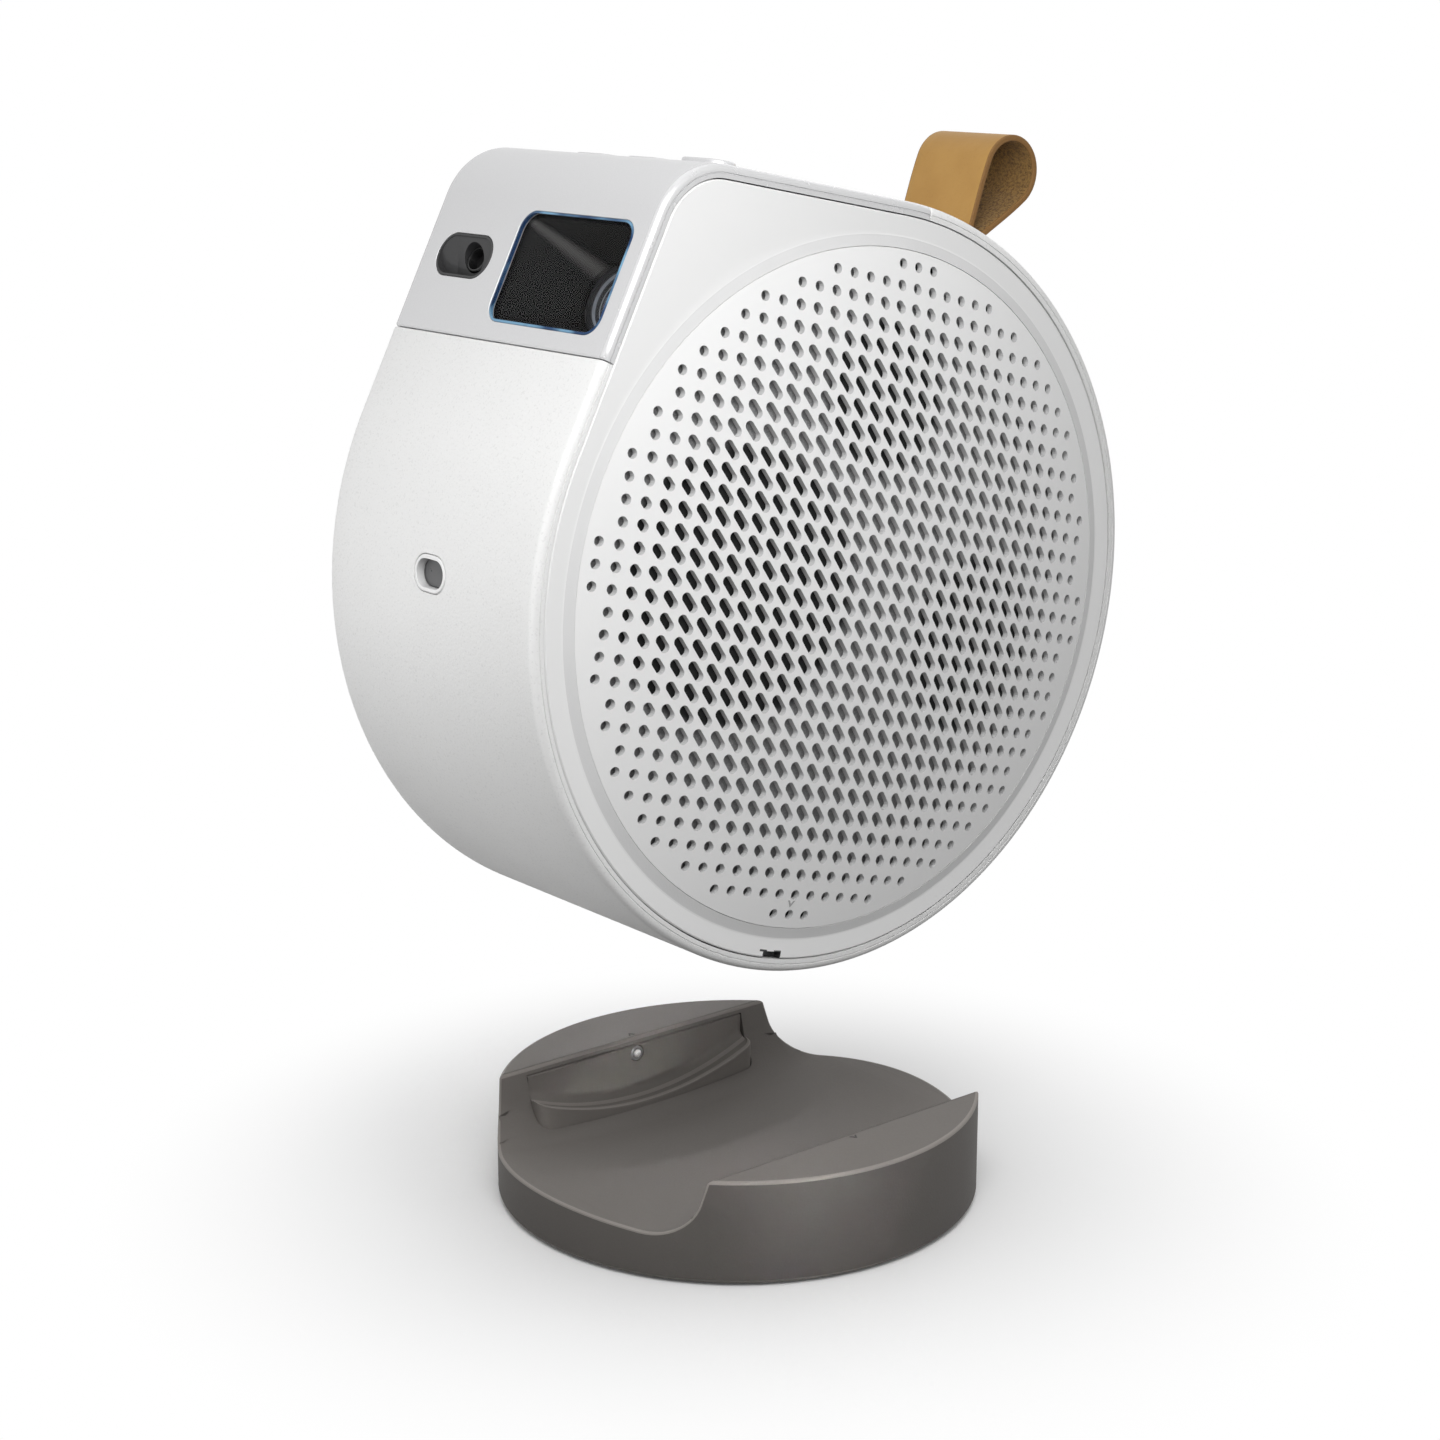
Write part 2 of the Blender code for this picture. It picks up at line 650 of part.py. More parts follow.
def build_optics(panel, facet):
    axis = guide("lens_axis", facet, (WINDOW_X, WINDOW_ALONG, 0))
    opening = rounded_rect(WINDOW_WIDTH, WINDOW_HEIGHT, WINDOW_CORNER)
    cut([panel], "window_opening", prism(opening, -2 * BAND_WALL, BAND_WALL), axis)
    slim = 2 * CLEARANCE
    glass = rounded_rect(WINDOW_WIDTH - slim, WINDOW_HEIGHT - slim, WINDOW_CORNER - CLEARANCE)
    glass_back = -GLASS_SINK - GLASS_THICKNESS
    add("lens_window", prism(glass, glass_back, -GLASS_SINK), DARK_GLASS, axis)

    wall = 2 * SHROUD_WALL
    corner = WINDOW_CORNER - CLEARANCE - SHROUD_WALL
    mouth = rounded_rect(WINDOW_WIDTH - slim - wall, WINDOW_HEIGHT - slim - wall, corner)
    bore = BARREL_RADIUS - SHROUD_WALL / 2
    throat = rounded_rect(2 * bore, 2 * bore, bore - CLEARANCE)
    neck = rounded_rect(2 * bore + wall, 2 * bore + wall, bore)
    front = glass_back - CLEARANCE
    rings = [level(glass, front), level(neck, -SHROUD_DEPTH), level(throat, -SHROUD_DEPTH), level(mouth, front)]
    add("lens_shroud", loft(rings, closed=True), BLACK_PLASTIC, axis)

    seat = BARREL_FRONT - LENS_THICKNESS - LENS_DOME
    pocket = circle(LENS_RADIUS + CLEARANCE)
    barrel = cup(circle(BARREL_RADIUS), pocket, seat, BARREL_FRONT - BARREL_LENGTH, BARREL_FRONT)
    add("lens_barrel", barrel, DARK_PLASTIC, axis)
    lens_back = seat + CLEARANCE
    lens_edge = lens_back + LENS_THICKNESS - LENS_DOME
    lens = [
        (LENS_RADIUS, lens_back),
        (LENS_RADIUS, lens_edge),
        (LENS_RADIUS * math.cos(math.radians(40)), lens_edge + LENS_DOME * math.sin(math.radians(40))),
        (LENS_RADIUS * math.cos(math.radians(70)), lens_edge + LENS_DOME * math.sin(math.radians(70))),
    ]
    add("projection_lens", turned(lens), DARK_GLASS, axis)

    engine = rounded_rect(ENGINE_WIDTH, ENGINE_HEIGHT, ENGINE_CORNER, 2)
    add("optical_engine", prism(engine, ENGINE_FRONT - ENGINE_LENGTH, ENGINE_FRONT), DARK_PLASTIC, axis)
    return axis


def build_cooling(axis):
    fins = comb(SINK_WIDTH, SINK_FRONT, SINK_FRONT - SINK_BASE, SINK_FRONT - SINK_LENGTH, SINK_FINS)
    sink = crosswise(fins, -ENGINE_WIDTH / 2, ENGINE_WIDTH / 2)
    add("heat_sink", sink, BARE_METAL, axis, (0, SINK_OFFSET, 0))

    spindle = guide("fan_spindle", axis, (0, SINK_OFFSET, FAN_FRONT))
    body = prism(rounded_rect(ENGINE_WIDTH, ENGINE_WIDTH, FAN_CORNER), -FAN_DEPTH, 0)
    frame = add("fan_frame", body, BLACK_PLASTIC, spindle)
    well = ENGINE_WIDTH / 2 - FAN_WALL
    floor = FAN_PLATE - FAN_DEPTH
    cut([frame], "fan_well", prism(circle(well), floor, FAN_DEPTH), spindle)
    for i in range(FAN_VENTS):
        turn = math.tau * i / FAN_VENTS
        reach = (well + FAN_HUB) / 2
        spot = (reach * math.cos(turn), reach * math.sin(turn), 0)
        vent = prism(circle(FAN_VENT_RADIUS, 8), -2 * FAN_DEPTH, floor + FAN_PLATE)
        cut([frame], f"fan_vent_{i + 1}", vent, spindle, spot)

    tip = well - FAN_TIP_GAP
    low = floor + CLEARANCE
    rings = []
    for height in spread(low, -CLEARANCE, FAN_DEPTH / 3):
        lean = FAN_TWIST * (height - low) / FAN_DEPTH
        ring = []
        for i in range(FAN_BLADES):
            for share, radius in ((0.0, FAN_HUB), (0.5, FAN_HUB), (0.62, tip), (0.80, tip)):
                turn = math.tau * (i + share) / FAN_BLADES + lean
                ring.append((radius * math.cos(turn), radius * math.sin(turn), height))
        rings.append(ring)
    add("fan_rotor", loft(rings), BLACK_PLASTIC, spindle)


def build_sensor(panel, facet):
    axis = guide("sensor_axis", facet, (SENSOR_X, SENSOR_ALONG, 0))
    opening = prism(stadium(SENSOR_LENGTH, SENSOR_WIDTH), -2 * BAND_WALL, BAND_WALL)
    cut([panel], "sensor_opening", opening, axis)
    slim = 2 * CLEARANCE
    wall = slim + 2 * SENSOR_WALL
    outer = stadium(SENSOR_LENGTH - slim, SENSOR_WIDTH - slim)
    inner = stadium(SENSOR_LENGTH - wall, SENSOR_WIDTH - wall)
    floor = [(x, y, SENSOR_SLOPE * y - SENSOR_FLOOR) for x, y in inner]
    rings = [floor, level(inner, 0), level(outer, 0), level(outer, -SENSOR_DEPTH)]
    housing = add("sensor_housing", loft(rings), BLACK_PLASTIC, axis)

    spot = (SENSOR_LENS_X, SENSOR_LENS_ALONG, 0)
    seat = SENSOR_WALL - SENSOR_DEPTH
    bore = prism(circle(SENSOR_LENS_RADIUS + CLEARANCE), seat, SENSOR_DEPTH)
    cut([housing], "sensor_bore", bore, axis, spot)
    inside = SENSOR_LENS_RADIUS - SENSOR_LENS_WALL
    back = seat + CLEARANCE
    rim = -SENSOR_FLOOR - SENSOR_LENS_WALL
    profile = [
        (inside / 3, rim - SENSOR_LENS_DEPTH + SENSOR_LENS_WALL),
        (inside, rim - SENSOR_LENS_DEPTH),
        (inside, rim),
        (SENSOR_LENS_RADIUS, rim),
        (SENSOR_LENS_RADIUS, back),
    ]
    add("sensor_lens", turned(profile), DARK_GLASS, axis, spot)


def build_receiver(band, projector):
    skin = anchor("receiver_skin", IR_ANGLE, projector)
    spot = (IR_X, 0, 0)
    wide = 2 * CLEARANCE
    opening = prism(stadium(IR_LENGTH + wide, IR_HEIGHT + wide), -2 * BAND_WALL, BAND_WALL)
    cut([band], "receiver_opening", opening, skin, spot)
    floor = IR_FLOOR - IR_DEPTH
    inner = stadium(IR_INNER_LENGTH, IR_INNER_HEIGHT)
    bezel = cup(stadium(IR_LENGTH, IR_HEIGHT), inner, floor, -IR_DEPTH, 0)
    add("ir_bezel", bezel, SMOOTH_WHITE, skin, spot)
    filter_outline = stadium(IR_INNER_LENGTH - wide, IR_INNER_HEIGHT - wide)
    add("ir_window", prism(filter_outline, floor + CLEARANCE, -IR_SINK), DARK_GLASS, skin, spot)


def build_keys(panel, projector):
    top = anchor("key_row", TOP_ANGLE, projector)
    wide = 2 * CLEARANCE
    edge = 2 * KEY_EDGE
    cap = stadium(KEY_LENGTH, KEY_WIDTH)
    crown = stadium(KEY_LENGTH - edge, KEY_WIDTH - edge)
    for column, name in enumerate(("key_left", "key_middle", "key_right")):
        spot = ((column - 1) * KEY_PITCH, -KEY_SETBACK, 0)
        opening = prism(stadium(KEY_LENGTH + wide, KEY_WIDTH + wide), -2 * BAND_WALL, BAND_WALL)
        cut([panel], name + "_opening", opening, top, spot)
        rings = [level(cap, -KEY_ROOT), level(cap, KEY_RISE - KEY_EDGE), level(crown, KEY_RISE)]
        add(name, loft(rings), SATIN_SILVER, top, spot)
    length = 2 * KEY_PITCH + KEY_LENGTH
    board = rounded_rect(length, KEY_BOARD_WIDTH, BOARD_THICKNESS, 2)
    mesh = prism(board, KEY_BOARD_TOP - BOARD_THICKNESS, KEY_BOARD_TOP)
    add("key_board", mesh, CIRCUIT_GREEN, top, (0, -KEY_SETBACK, 0))


def loop_path():
    """One half runs up from the root, flares out and meets the bulb, and the other half mirrors it."""
    neck = Vector((-LOOP_LEG, LOOP_NECK))
    to_bulb = Vector((0, LOOP_HEIGHT)) - neck
    lean = math.atan2(to_bulb.y, to_bulb.x) + math.asin(LOOP_BULB / to_bulb.length)
    start = lean + math.pi / 2
    turns = spread(start, math.pi - start, math.radians(24))
    bulb = [Vector((LOOP_BULB * math.cos(turn), LOOP_HEIGHT + LOOP_BULB * math.sin(turn))) for turn in turns]
    rise = [Vector((-LOOP_LEG, -LOOP_ROOT)), neck]
    return rise + bulb + [Vector((-point.x, point.y)) for point in reversed(rise)]


def build_loop(band, projector):
    skin = anchor("loop_skin", LOOP_ANGLE, projector)
    length = LOOP_WIDTH + 2 * CLEARANCE
    slot = rounded_rect(length, LOOP_SLOT, CLEARANCE, 2)
    cut([band], "loop_slot", prism(slot, -2 * BAND_WALL, BAND_WALL), skin)
    strip = [tuple(point) for point in thickened(loop_path(), LOOP_THICKNESS / 2)]
    add("carry_loop", crosswise(strip, -LOOP_WIDTH / 2, LOOP_WIDTH / 2), TAN_LEATHER, skin)
    wall = 2 * CLAMP_WALL
    block = rounded_rect(length + wall, LOOP_SLOT + wall, LOOP_SLOT / 4, 2)
    floor = -LOOP_ROOT - CLEARANCE
    add("loop_clamp", cup(block, slot, floor, floor - CLAMP_WALL, -BAND_INSIDE), DARK_PLASTIC, skin)


def chassis_outline():
    """A disc with short arms that reach the inside of the band."""
    inner = DRUM_RADIUS - CHASSIS_INSET
    outer = DRUM_RADIUS - BAND_INSIDE
    points = []
    for i, tab in enumerate(CHASSIS_TABS):
        following = CHASSIS_TABS[(i + 1) % len(CHASSIS_TABS)]
        if following < tab:
            following += math.tau
        low = tab - TAB_HALF_ANGLE
        high = tab + TAB_HALF_ANGLE
        points += [outward(turn) * outer for turn in (low, tab, high)]
        between = spread(high, following - TAB_HALF_ANGLE, 2 * ARC_STEP)
        points += [outward(turn) * inner for turn in between]
    return [(point.y, point.z) for point in points]


def cell_outline():
    """Round cells stacked on one another in one wrap, as an outline in X and Z."""
    right = []
    for i in range(CELL_COUNT):
        turns = spread(-math.radians(65), math.radians(65), math.radians(26))
        centre = (2 * i + 1) * CELL_RADIUS
        right += [(CELL_RADIUS * math.cos(turn), centre + CELL_RADIUS * math.sin(turn)) for turn in turns]
    return right + [(-x, 2 * CELL_COUNT * CELL_RADIUS - z) for x, z in right]


def build_inside(projector):
    add("chassis", crosswise(chassis_outline(), CHASSIS_LEFT, CHASSIS_RIGHT), GREY_PLASTIC, projector)
    board_right = CHASSIS_LEFT - CLEARANCE
    board = rounded_rect(MAIN_BOARD_LENGTH, MAIN_BOARD_HEIGHT, 4 * BOARD_THICKNESS, 2)
    mesh = crosswise(board, board_right - BOARD_THICKNESS, board_right)
    add("main_board", mesh, CIRCUIT_GREEN, projector, (0, 0, MAIN_BOARD_RISE))

    reach = DRUM_RADIUS - BAND_INSIDE - CELL_MARGIN
    bottom = -math.sqrt(reach ** 2 - (CELL_LENGTH / 2) ** 2)
    rings = [[(x, y, z) for x, z in cell_outline()] for y in (-CELL_LENGTH / 2, CELL_LENGTH / 2)]
    spot = (board_right - CELL_RADIUS, 0, bottom)
    add("battery_pack", loft(rings), CELL_WRAP, projector, spot)


def build_ports(band, projector):
    skin = anchor("port_skin", PORT_ANGLE, projector)
    opening = prism(rounded_rect(PORT_LENGTH, PORT_HEIGHT, PORT_CORNER), -2 * BAND_WALL, BAND_WALL)
    cut([band], "port_opening", opening, skin)
    slim = 2 * CLEARANCE
    plate = rounded_rect(PORT_LENGTH - slim, PORT_HEIGHT - slim, PORT_CORNER - CLEARANCE)
    low = -PORT_SINK - PORT_THICKNESS
    bezel = add("port_bezel", prism(plate, low, -PORT_SINK), DARK_PLASTIC, skin)

    def hdmi(grow):
        return chamfered(HDMI_LENGTH + 2 * grow, HDMI_HEIGHT + 2 * grow, HDMI_CHAMFER)

    def usb(grow):
        return stadium(USB_LENGTH + 2 * grow, USB_HEIGHT + 2 * grow)

    def audio(grow):
        return circle(AUDIO_RADIUS + grow)

    def power(grow):
        return circle(POWER_RADIUS + grow)

    kinds = (("hdmi", HDMI_X, hdmi), ("usb", USB_X, usb), ("audio", AUDIO_X, audio), ("power", POWER_X, power))
    for name, x, outline in kinds:
        hole = prism(outline(CLEARANCE), 2 * low, BAND_WALL)
        cut([bezel], name + "_hole", hole, skin, (x, 0, 0))
        floor = SOCKET_FLOOR - SOCKET_DEPTH
        body = cup(outline(0), outline(-SOCKET_WALL), floor, -SOCKET_DEPTH, -PORT_SINK)
        add(name + "_socket", body, STEEL, skin, (x, 0, 0))


# Dock

def channel_floor(y):
    return FLOOR_LOW + (FLOOR_RIM - FLOOR_LOW) * (y / DOCK_RADIUS) ** 2


def channel_section(y):
    """Half a cross-section of the channel: flat floor, fillet and steep wall."""
    lean_sin = math.sin(CHANNEL_WALL_ANGLE)
    lean_cos = math.cos(CHANNEL_WALL_ANGLE)
    middle = channel_floor(y) + CHANNEL_FILLET
    centre = CREST_X - (CHANNEL_FILLET - lean_cos * (middle - CREST_HEIGHT)) / lean_sin
    points = []
    for turn in spread(-math.pi / 2, CHANNEL_WALL_ANGLE - math.pi / 2, math.radians(20)):
        points.append((centre + CHANNEL_FILLET * math.cos(turn), middle + CHANNEL_FILLET * math.sin(turn)))
    rise = CREST_HEIGHT + CHANNEL_FILLET
    points.append((CREST_X, CREST_HEIGHT))
    points.append((CREST_X, rise))
    return points


def channel():
    rings = []
    reach = DOCK_RADIUS + CHANNEL_FILLET
    for y in spread(-reach, reach, reach / 5):
        half = channel_section(y)
        whole = half + [(-x, z) for x, z in reversed(half)]
        rings.append([(x, y, z) for x, z in whole])
    return loft(rings)


def seat_line(y):
    """Height of the cradle's lip, which follows the drum when it is seated."""
    return SEAT_HEIGHT - math.sqrt(SEAT_RADIUS ** 2 - y ** 2)


def cradle(side):
    rings = []
    front = CRADLE_FACE - LIP_REACH
    for y in spread(-CRADLE_HALF_LENGTH, CRADLE_HALF_LENGTH, CRADLE_HALF_LENGTH / 6):
        lip = seat_line(y)
        section = [
            (CRADLE_REAR, CRADLE_BASE),
            (front, CRADLE_BASE),
            (front, lip),
            (CRADLE_FACE, lip),
            (CRADLE_FACE, CRADLE_TOP),
            (CRADLE_REAR, CRADLE_TOP),
        ]
        rings.append([(side * x, y, z) for x, z in section])
    return loft(rings)


def build_dock():
    profile = [
        (DOCK_RADIUS - DOCK_EDGE, SHELL_BOTTOM),
        (DOCK_RADIUS, SHELL_BOTTOM + DOCK_EDGE),
        (DOCK_RADIUS, CREST_HEIGHT),
    ]
    dock = add("dock_shell", turned(profile, 2 * DISC_STEPS), DOCK_GREY)
    cut([dock], "dock_channel", channel())
    recess = prism(circle(CAVITY_RADIUS, DISC_STEPS), -CAVITY_ROOF, BASE_TOP + CLEARANCE)
    cut([dock], "base_recess", recess)
    well = prism(circle(BALLAST_RADIUS + CLEARANCE, DISC_STEPS), -CAVITY_ROOF, CAVITY_ROOF)
    cut([dock], "ballast_well", well)

    cradles = []
    front = CRADLE_FACE - LIP_REACH - CLEARANCE
    length = 2 * (CRADLE_HALF_LENGTH + CLEARANCE)
    depth = CRADLE_REAR + CLEARANCE - front
    pocket = rounded_rect(depth, length, CLEARANCE / 2, 1)
    for name, side in (("right", 1), ("left", -1)):
        cradles.append(add(name + "_cradle", cradle(side), DOCK_GREY))
        spot = (side * (front + depth / 2), 0, 0)
        tool = prism(pocket, CRADLE_BASE - CLEARANCE, CRADLE_TOP + CLEARANCE)
        cut([dock], name + "_cradle_pocket", tool, None, spot)
    build_contact(dock, cradles[1])
    build_underside(dock)


def build_contact(dock, host):
    """The sprung contact in the left cradle, pointing at the drum."""
    axis = guide("contact_axis", None, (-CRADLE_FACE, 0, CONTACT_HEIGHT), (0, math.pi / 2, 0))
    inside = CONTACT_RADIUS + CLEARANCE
    outside = inside + SLEEVE_WALL
    bore = circle(outside + CLEARANCE)
    cut([host, dock], "contact_bore", prism(bore, -SLEEVE_LENGTH - CLEARANCE, LIP_REACH), axis)
    floor = SLEEVE_WALL - SLEEVE_LENGTH
    add("plunger_sleeve", cup(circle(outside), circle(inside), floor, -SLEEVE_LENGTH, 0), STEEL, axis)
    pin_back = CONTACT_RISE - CONTACT_LENGTH
    pin = [
        (CONTACT_RADIUS, pin_back),
        (CONTACT_RADIUS, 0),
        (CONTACT_RADIUS * math.cos(math.radians(40)), CONTACT_RISE * math.sin(math.radians(40))),
        (CONTACT_RADIUS * math.cos(math.radians(75)), CONTACT_RISE),
    ]
    add("contact_pin", turned(pin, 12), GOLD_PLATE, axis)
    spring = prism(circle(CONTACT_RADIUS, 12), floor + CLEARANCE, pin_back - CONTACT_TRAVEL - CLEARANCE)
    add("contact_spring", spring, STEEL, axis)


def build_underside(dock):
    plate = prism(circle(CAVITY_RADIUS - CLEARANCE, DISC_STEPS), BASE_BOTTOM, BASE_TOP)
    base = add("dock_base", plate, DARK_PLASTIC)
    weight = circle(BALLAST_RADIUS, DISC_STEPS)
    add("dock_ballast", prism(weight, BASE_TOP + CLEARANCE, CAVITY_ROOF - CLEARANCE), STEEL)
    foot = circle(CAVITY_RADIUS - FOOT_INSET, DISC_STEPS)
    add("dock_foot", prism(foot, 0, FOOT_THICKNESS), RUBBER)
    head_top = BASE_BOTTOM + SCREW_HEAD
    tip = head_top + SCREW_LENGTH
    profile = [
        (SCREW_HEAD_RADIUS, BASE_BOTTOM),
        (SCREW_HEAD_RADIUS, head_top),
        (SCREW_RADIUS, head_top),
        (SCREW_RADIUS, tip - SCREW_RADIUS),
        (SCREW_RADIUS / 2, tip),
    ]
    for i in range(SCREW_COUNT):
        turn = math.tau * (i + 0.5) / SCREW_COUNT
        spot = (SCREW_CIRCLE * math.cos(turn), SCREW_CIRCLE * math.sin(turn), 0)
        head_hole = prism(circle(SCREW_HEAD_RADIUS + CLEARANCE, 12), -BASE_TOP, 2 * BASE_TOP)
        cut([base], f"screw_head_hole_{i + 1}", head_hole, None, spot)
        hole = prism(circle(SCREW_RADIUS + CLEARANCE, 12), BASE_TOP, tip + CLEARANCE)
        cut([dock], f"screw_hole_{i + 1}", hole, None, spot)
        add(f"dock_screw_{i + 1}", turned(profile, 12), STEEL, None, spot)


def main():
    for item in list(bpy.data.objects):
        bpy.data.objects.remove(item)
    projector = guide("projector", None, (0, 0, REST_HEIGHT), (-TILT, 0, 0))
    facet = anchor("facet", FACET_ANGLE, projector)
    band, panel = build_shell(projector)
    build_loudspeakers(projector)
    axis = build_optics(panel, facet)
    build_cooling(axis)
    build_sensor(panel, facet)
    build_receiver(band, projector)
    build_keys(panel, projector)
    build_loop(band, projector)
    build_inside(projector)
    build_ports(band, projector)
    build_dock()


main()
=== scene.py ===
import json
from math import atan, ceil, cos, pi, radians, sin, sqrt, tan, tau

import bmesh
import bpy
from mathutils import Matrix, Vector


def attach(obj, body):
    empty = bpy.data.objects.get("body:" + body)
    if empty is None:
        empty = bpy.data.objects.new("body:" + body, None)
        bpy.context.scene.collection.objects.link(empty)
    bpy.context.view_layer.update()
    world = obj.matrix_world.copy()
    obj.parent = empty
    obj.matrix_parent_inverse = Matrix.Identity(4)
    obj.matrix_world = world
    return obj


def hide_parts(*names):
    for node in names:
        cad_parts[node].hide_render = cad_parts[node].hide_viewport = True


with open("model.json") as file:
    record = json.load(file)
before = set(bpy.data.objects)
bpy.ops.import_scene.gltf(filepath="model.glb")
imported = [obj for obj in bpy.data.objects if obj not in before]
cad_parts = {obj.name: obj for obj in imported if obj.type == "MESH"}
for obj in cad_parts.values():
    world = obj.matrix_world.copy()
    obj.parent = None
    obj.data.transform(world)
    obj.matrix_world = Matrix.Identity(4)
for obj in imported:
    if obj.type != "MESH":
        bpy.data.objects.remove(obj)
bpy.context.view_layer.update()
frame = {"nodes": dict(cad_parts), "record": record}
record = frame["record"]
print("frame loaded:", len(frame["nodes"]), "nodes")


class Sizes(dict):
    # a dictionary whose values are also read by name
    __getattr__ = dict.__getitem__


# sizes that several pieces share, in metres and degrees
drum = Sizes(
    radius=0.0925, halfWidth=0.0412, height=0.1641, lean=13.6, edgeAcross=0.0016, edgeDown=0.0018,
    edgeLine=0.0003, wall=0.00315, gap=0.0003, facetAngle=13.6, topAngle=87.3, cornerRadius=0.0183,
    panelTail=4.5, panelSeam=0.0214, coverBack=0.0387, coverCrest=0.0417, grilleOpening=0.0815,
)
facet = radians(drum.facetAngle)
top = radians(drum.topAngle)
panelRear = top + radians(drum.panelTail)
drumPlace = Matrix.Translation((0, 0, drum.height)) @ Matrix.Rotation(-radians(drum.lean), 4, "X")
sides = (("right", 1), ("left", -1))


# sockets that add, subtract, multiply and divide like numbers, from either side
def operators(operation):
    def forward(self, other):
        return self.join(operation, self, other)

    def reflected(self, other):
        return self.join(operation, other, self)

    return forward, reflected


class Wire:
    def __init__(self, graph, socket):
        self.graph = graph
        self.socket = socket

    def join(self, operation, first, second):
        return self.graph.node("ShaderNodeMath", {"operation": operation}, {0: first, 1: second})

    def beside(self, output):
        return Wire(self.graph, self.socket.node.outputs[output])

    __add__, __radd__ = operators("ADD")
    __sub__, __rsub__ = operators("SUBTRACT")
    __mul__, __rmul__ = operators("MULTIPLY")
    __truediv__, __rtruediv__ = operators("DIVIDE")
    __gt__ = operators("GREATER_THAN")[0]


class Graph:
    def __init__(self, tree):
        self.tree = tree

    def measure(self, operation, *inputs):
        return self.node("ShaderNodeVectorMath", {"operation": operation}, dict(enumerate(inputs)), "Value")

    def node(self, kind, settings=None, inputs=None, output=0):
        made = self.tree.nodes.new(kind)
        for key, value in (settings or {}).items():
            setattr(made, key, value)
        for key, value in (inputs or {}).items():
            if isinstance(value, Wire):
                self.tree.links.new(value.socket, made.inputs[key])
            else:
                made.inputs[key].default_value = value
        return Wire(self, made.outputs[output])


# finishes
class Finish(Graph):
    def __init__(self, name, colour, roughness, metallic=0.0, **constants):
        self.material = bpy.data.materials.new(name)
        self.material.use_nodes = True
        super().__init__(self.material.node_tree)
        self.shader = self.tree.nodes["Principled BSDF"]
        self.colour = (*colour, 1.0)
        self.feed("Base Color", self.colour)
        self.feed("Roughness", roughness)
        self.feed("Metallic", metallic)
        for key, value in constants.items():
            self.feed(key.replace("_", " "), value)
        self.place = self.node("ShaderNodeTexCoord", output="Object")

    def feed(self, socket, value):
        if isinstance(value, Wire):
            self.tree.links.new(value.socket, self.shader.inputs[socket])
        else:
            self.shader.inputs[socket].default_value = value

    def noise(self, size, detail=2.0, stretch=None, roughness=0.5):
        place = self.place
        if stretch:
            place = self.node("ShaderNodeMapping", {}, {"Vector": place, "Scale": stretch})
        inputs = {"Vector": place, "Scale": 1 / size, "Detail": detail, "Roughness": roughness}
        return self.node("ShaderNodeTexNoise", {}, inputs)

    def cells(self, size, feature="F1"):
        inputs = {"Vector": self.place, "Scale": 1 / size}
        return self.node("ShaderNodeTexVoronoi", {"feature": feature}, inputs)

    def ramp(self, value, low, high):
        inputs = {0: value, 1: low, 2: high, 3: 0.0, 4: 1.0}
        return self.node("ShaderNodeMapRange", {"interpolation_type": "SMOOTHSTEP"}, inputs)

    def blend(self, mask, first, second):
        inputs = {0: mask, 6: first, 7: second}
        return self.node("ShaderNodeMix", {"data_type": "RGBA"}, inputs, 2)

    def tint(self, mask, colour):
        shade = self.blend(mask, self.colour, (*colour, 1.0))
        self.feed("Base Color", shade)
        return shade

    def bump(self, height, depth, strength=1.0):
        inputs = {"Strength": strength, "Distance": depth, "Height": height}
        self.feed("Normal", self.node("ShaderNodeBump", {}, inputs))


def speckledWhite():
    made = Finish("speckledWhite", (0.80, 0.80, 0.795), 0.55)
    fleck = made.ramp(made.noise(0.00055, 3.0), 0.56, 0.70)
    cloud = made.noise(0.012, 2.0)
    made.tint(fleck * 0.55 + cloud * 0.12, (0.66, 0.66, 0.655))
    made.feed("Roughness", 0.50 + cloud * 0.14)
    made.bump(made.noise(0.00075, 3.0), 0.00020, 0.45)
    return made.material


def smoothWhite():
    made = Finish("smoothWhite", (0.82, 0.82, 0.817), 0.36)
    cloud = made.noise(0.020, 3.0)
    made.tint(cloud * 0.25, (0.77, 0.77, 0.768))
    made.feed("Roughness", 0.32 + made.noise(0.003) * 0.12)
    made.bump(made.noise(0.0004, 1.0), 0.00004, 0.25)
    return made.material


def shaded(colour, level):
    return tuple(level * part for part in colour)


def grained(name, colour, roughness, size, detail=2.0, metallic=0.0, stretch=None,
            share=0.0, second=None, swing=None, bump=None, **constants):
    # a plain colour that one noise tints, roughens and bumps
    made = Finish(name, colour, roughness, metallic, **constants)
    grain = made.noise(size, detail, stretch)
    if second:
        made.tint(grain * share, second)
    if swing:
        made.feed("Roughness", swing[0] + grain * swing[1])
    if bump:
        made.bump(grain, *bump)
    return made.material


def satinSilver(name="satinSilver", shade=0.66, roughness=0.32):
    return grained(name, (shade, shade, shade * 1.01), roughness, 0.00035, metallic=0.60, share=0.35,
                   second=shaded((0.82, 0.82, 0.83), shade), swing=(roughness, 0.12), bump=(0.00004, 0.30))


def metal(name, colour, roughness, stretch=(1.0, 1.0, 1.0)):
    return grained(name, colour, roughness, 0.0008, 3.0, 1.0, stretch, 0.4, shaded(colour, 0.75),
                   (roughness - 0.05, 0.15), (0.00003, 0.3))


def mouldedPlastic(name, colour, roughness, grain=0.0005, depth=0.00006):
    made = Finish(name, colour, roughness)
    fine = made.noise(grain)
    wide = made.noise(grain * 30)
    made.tint(wide * 0.45, shaded(colour, 0.78))
    made.feed("Roughness", roughness - 0.06 + fine * 0.12)
    made.bump(fine, depth, 0.4)
    return made.material


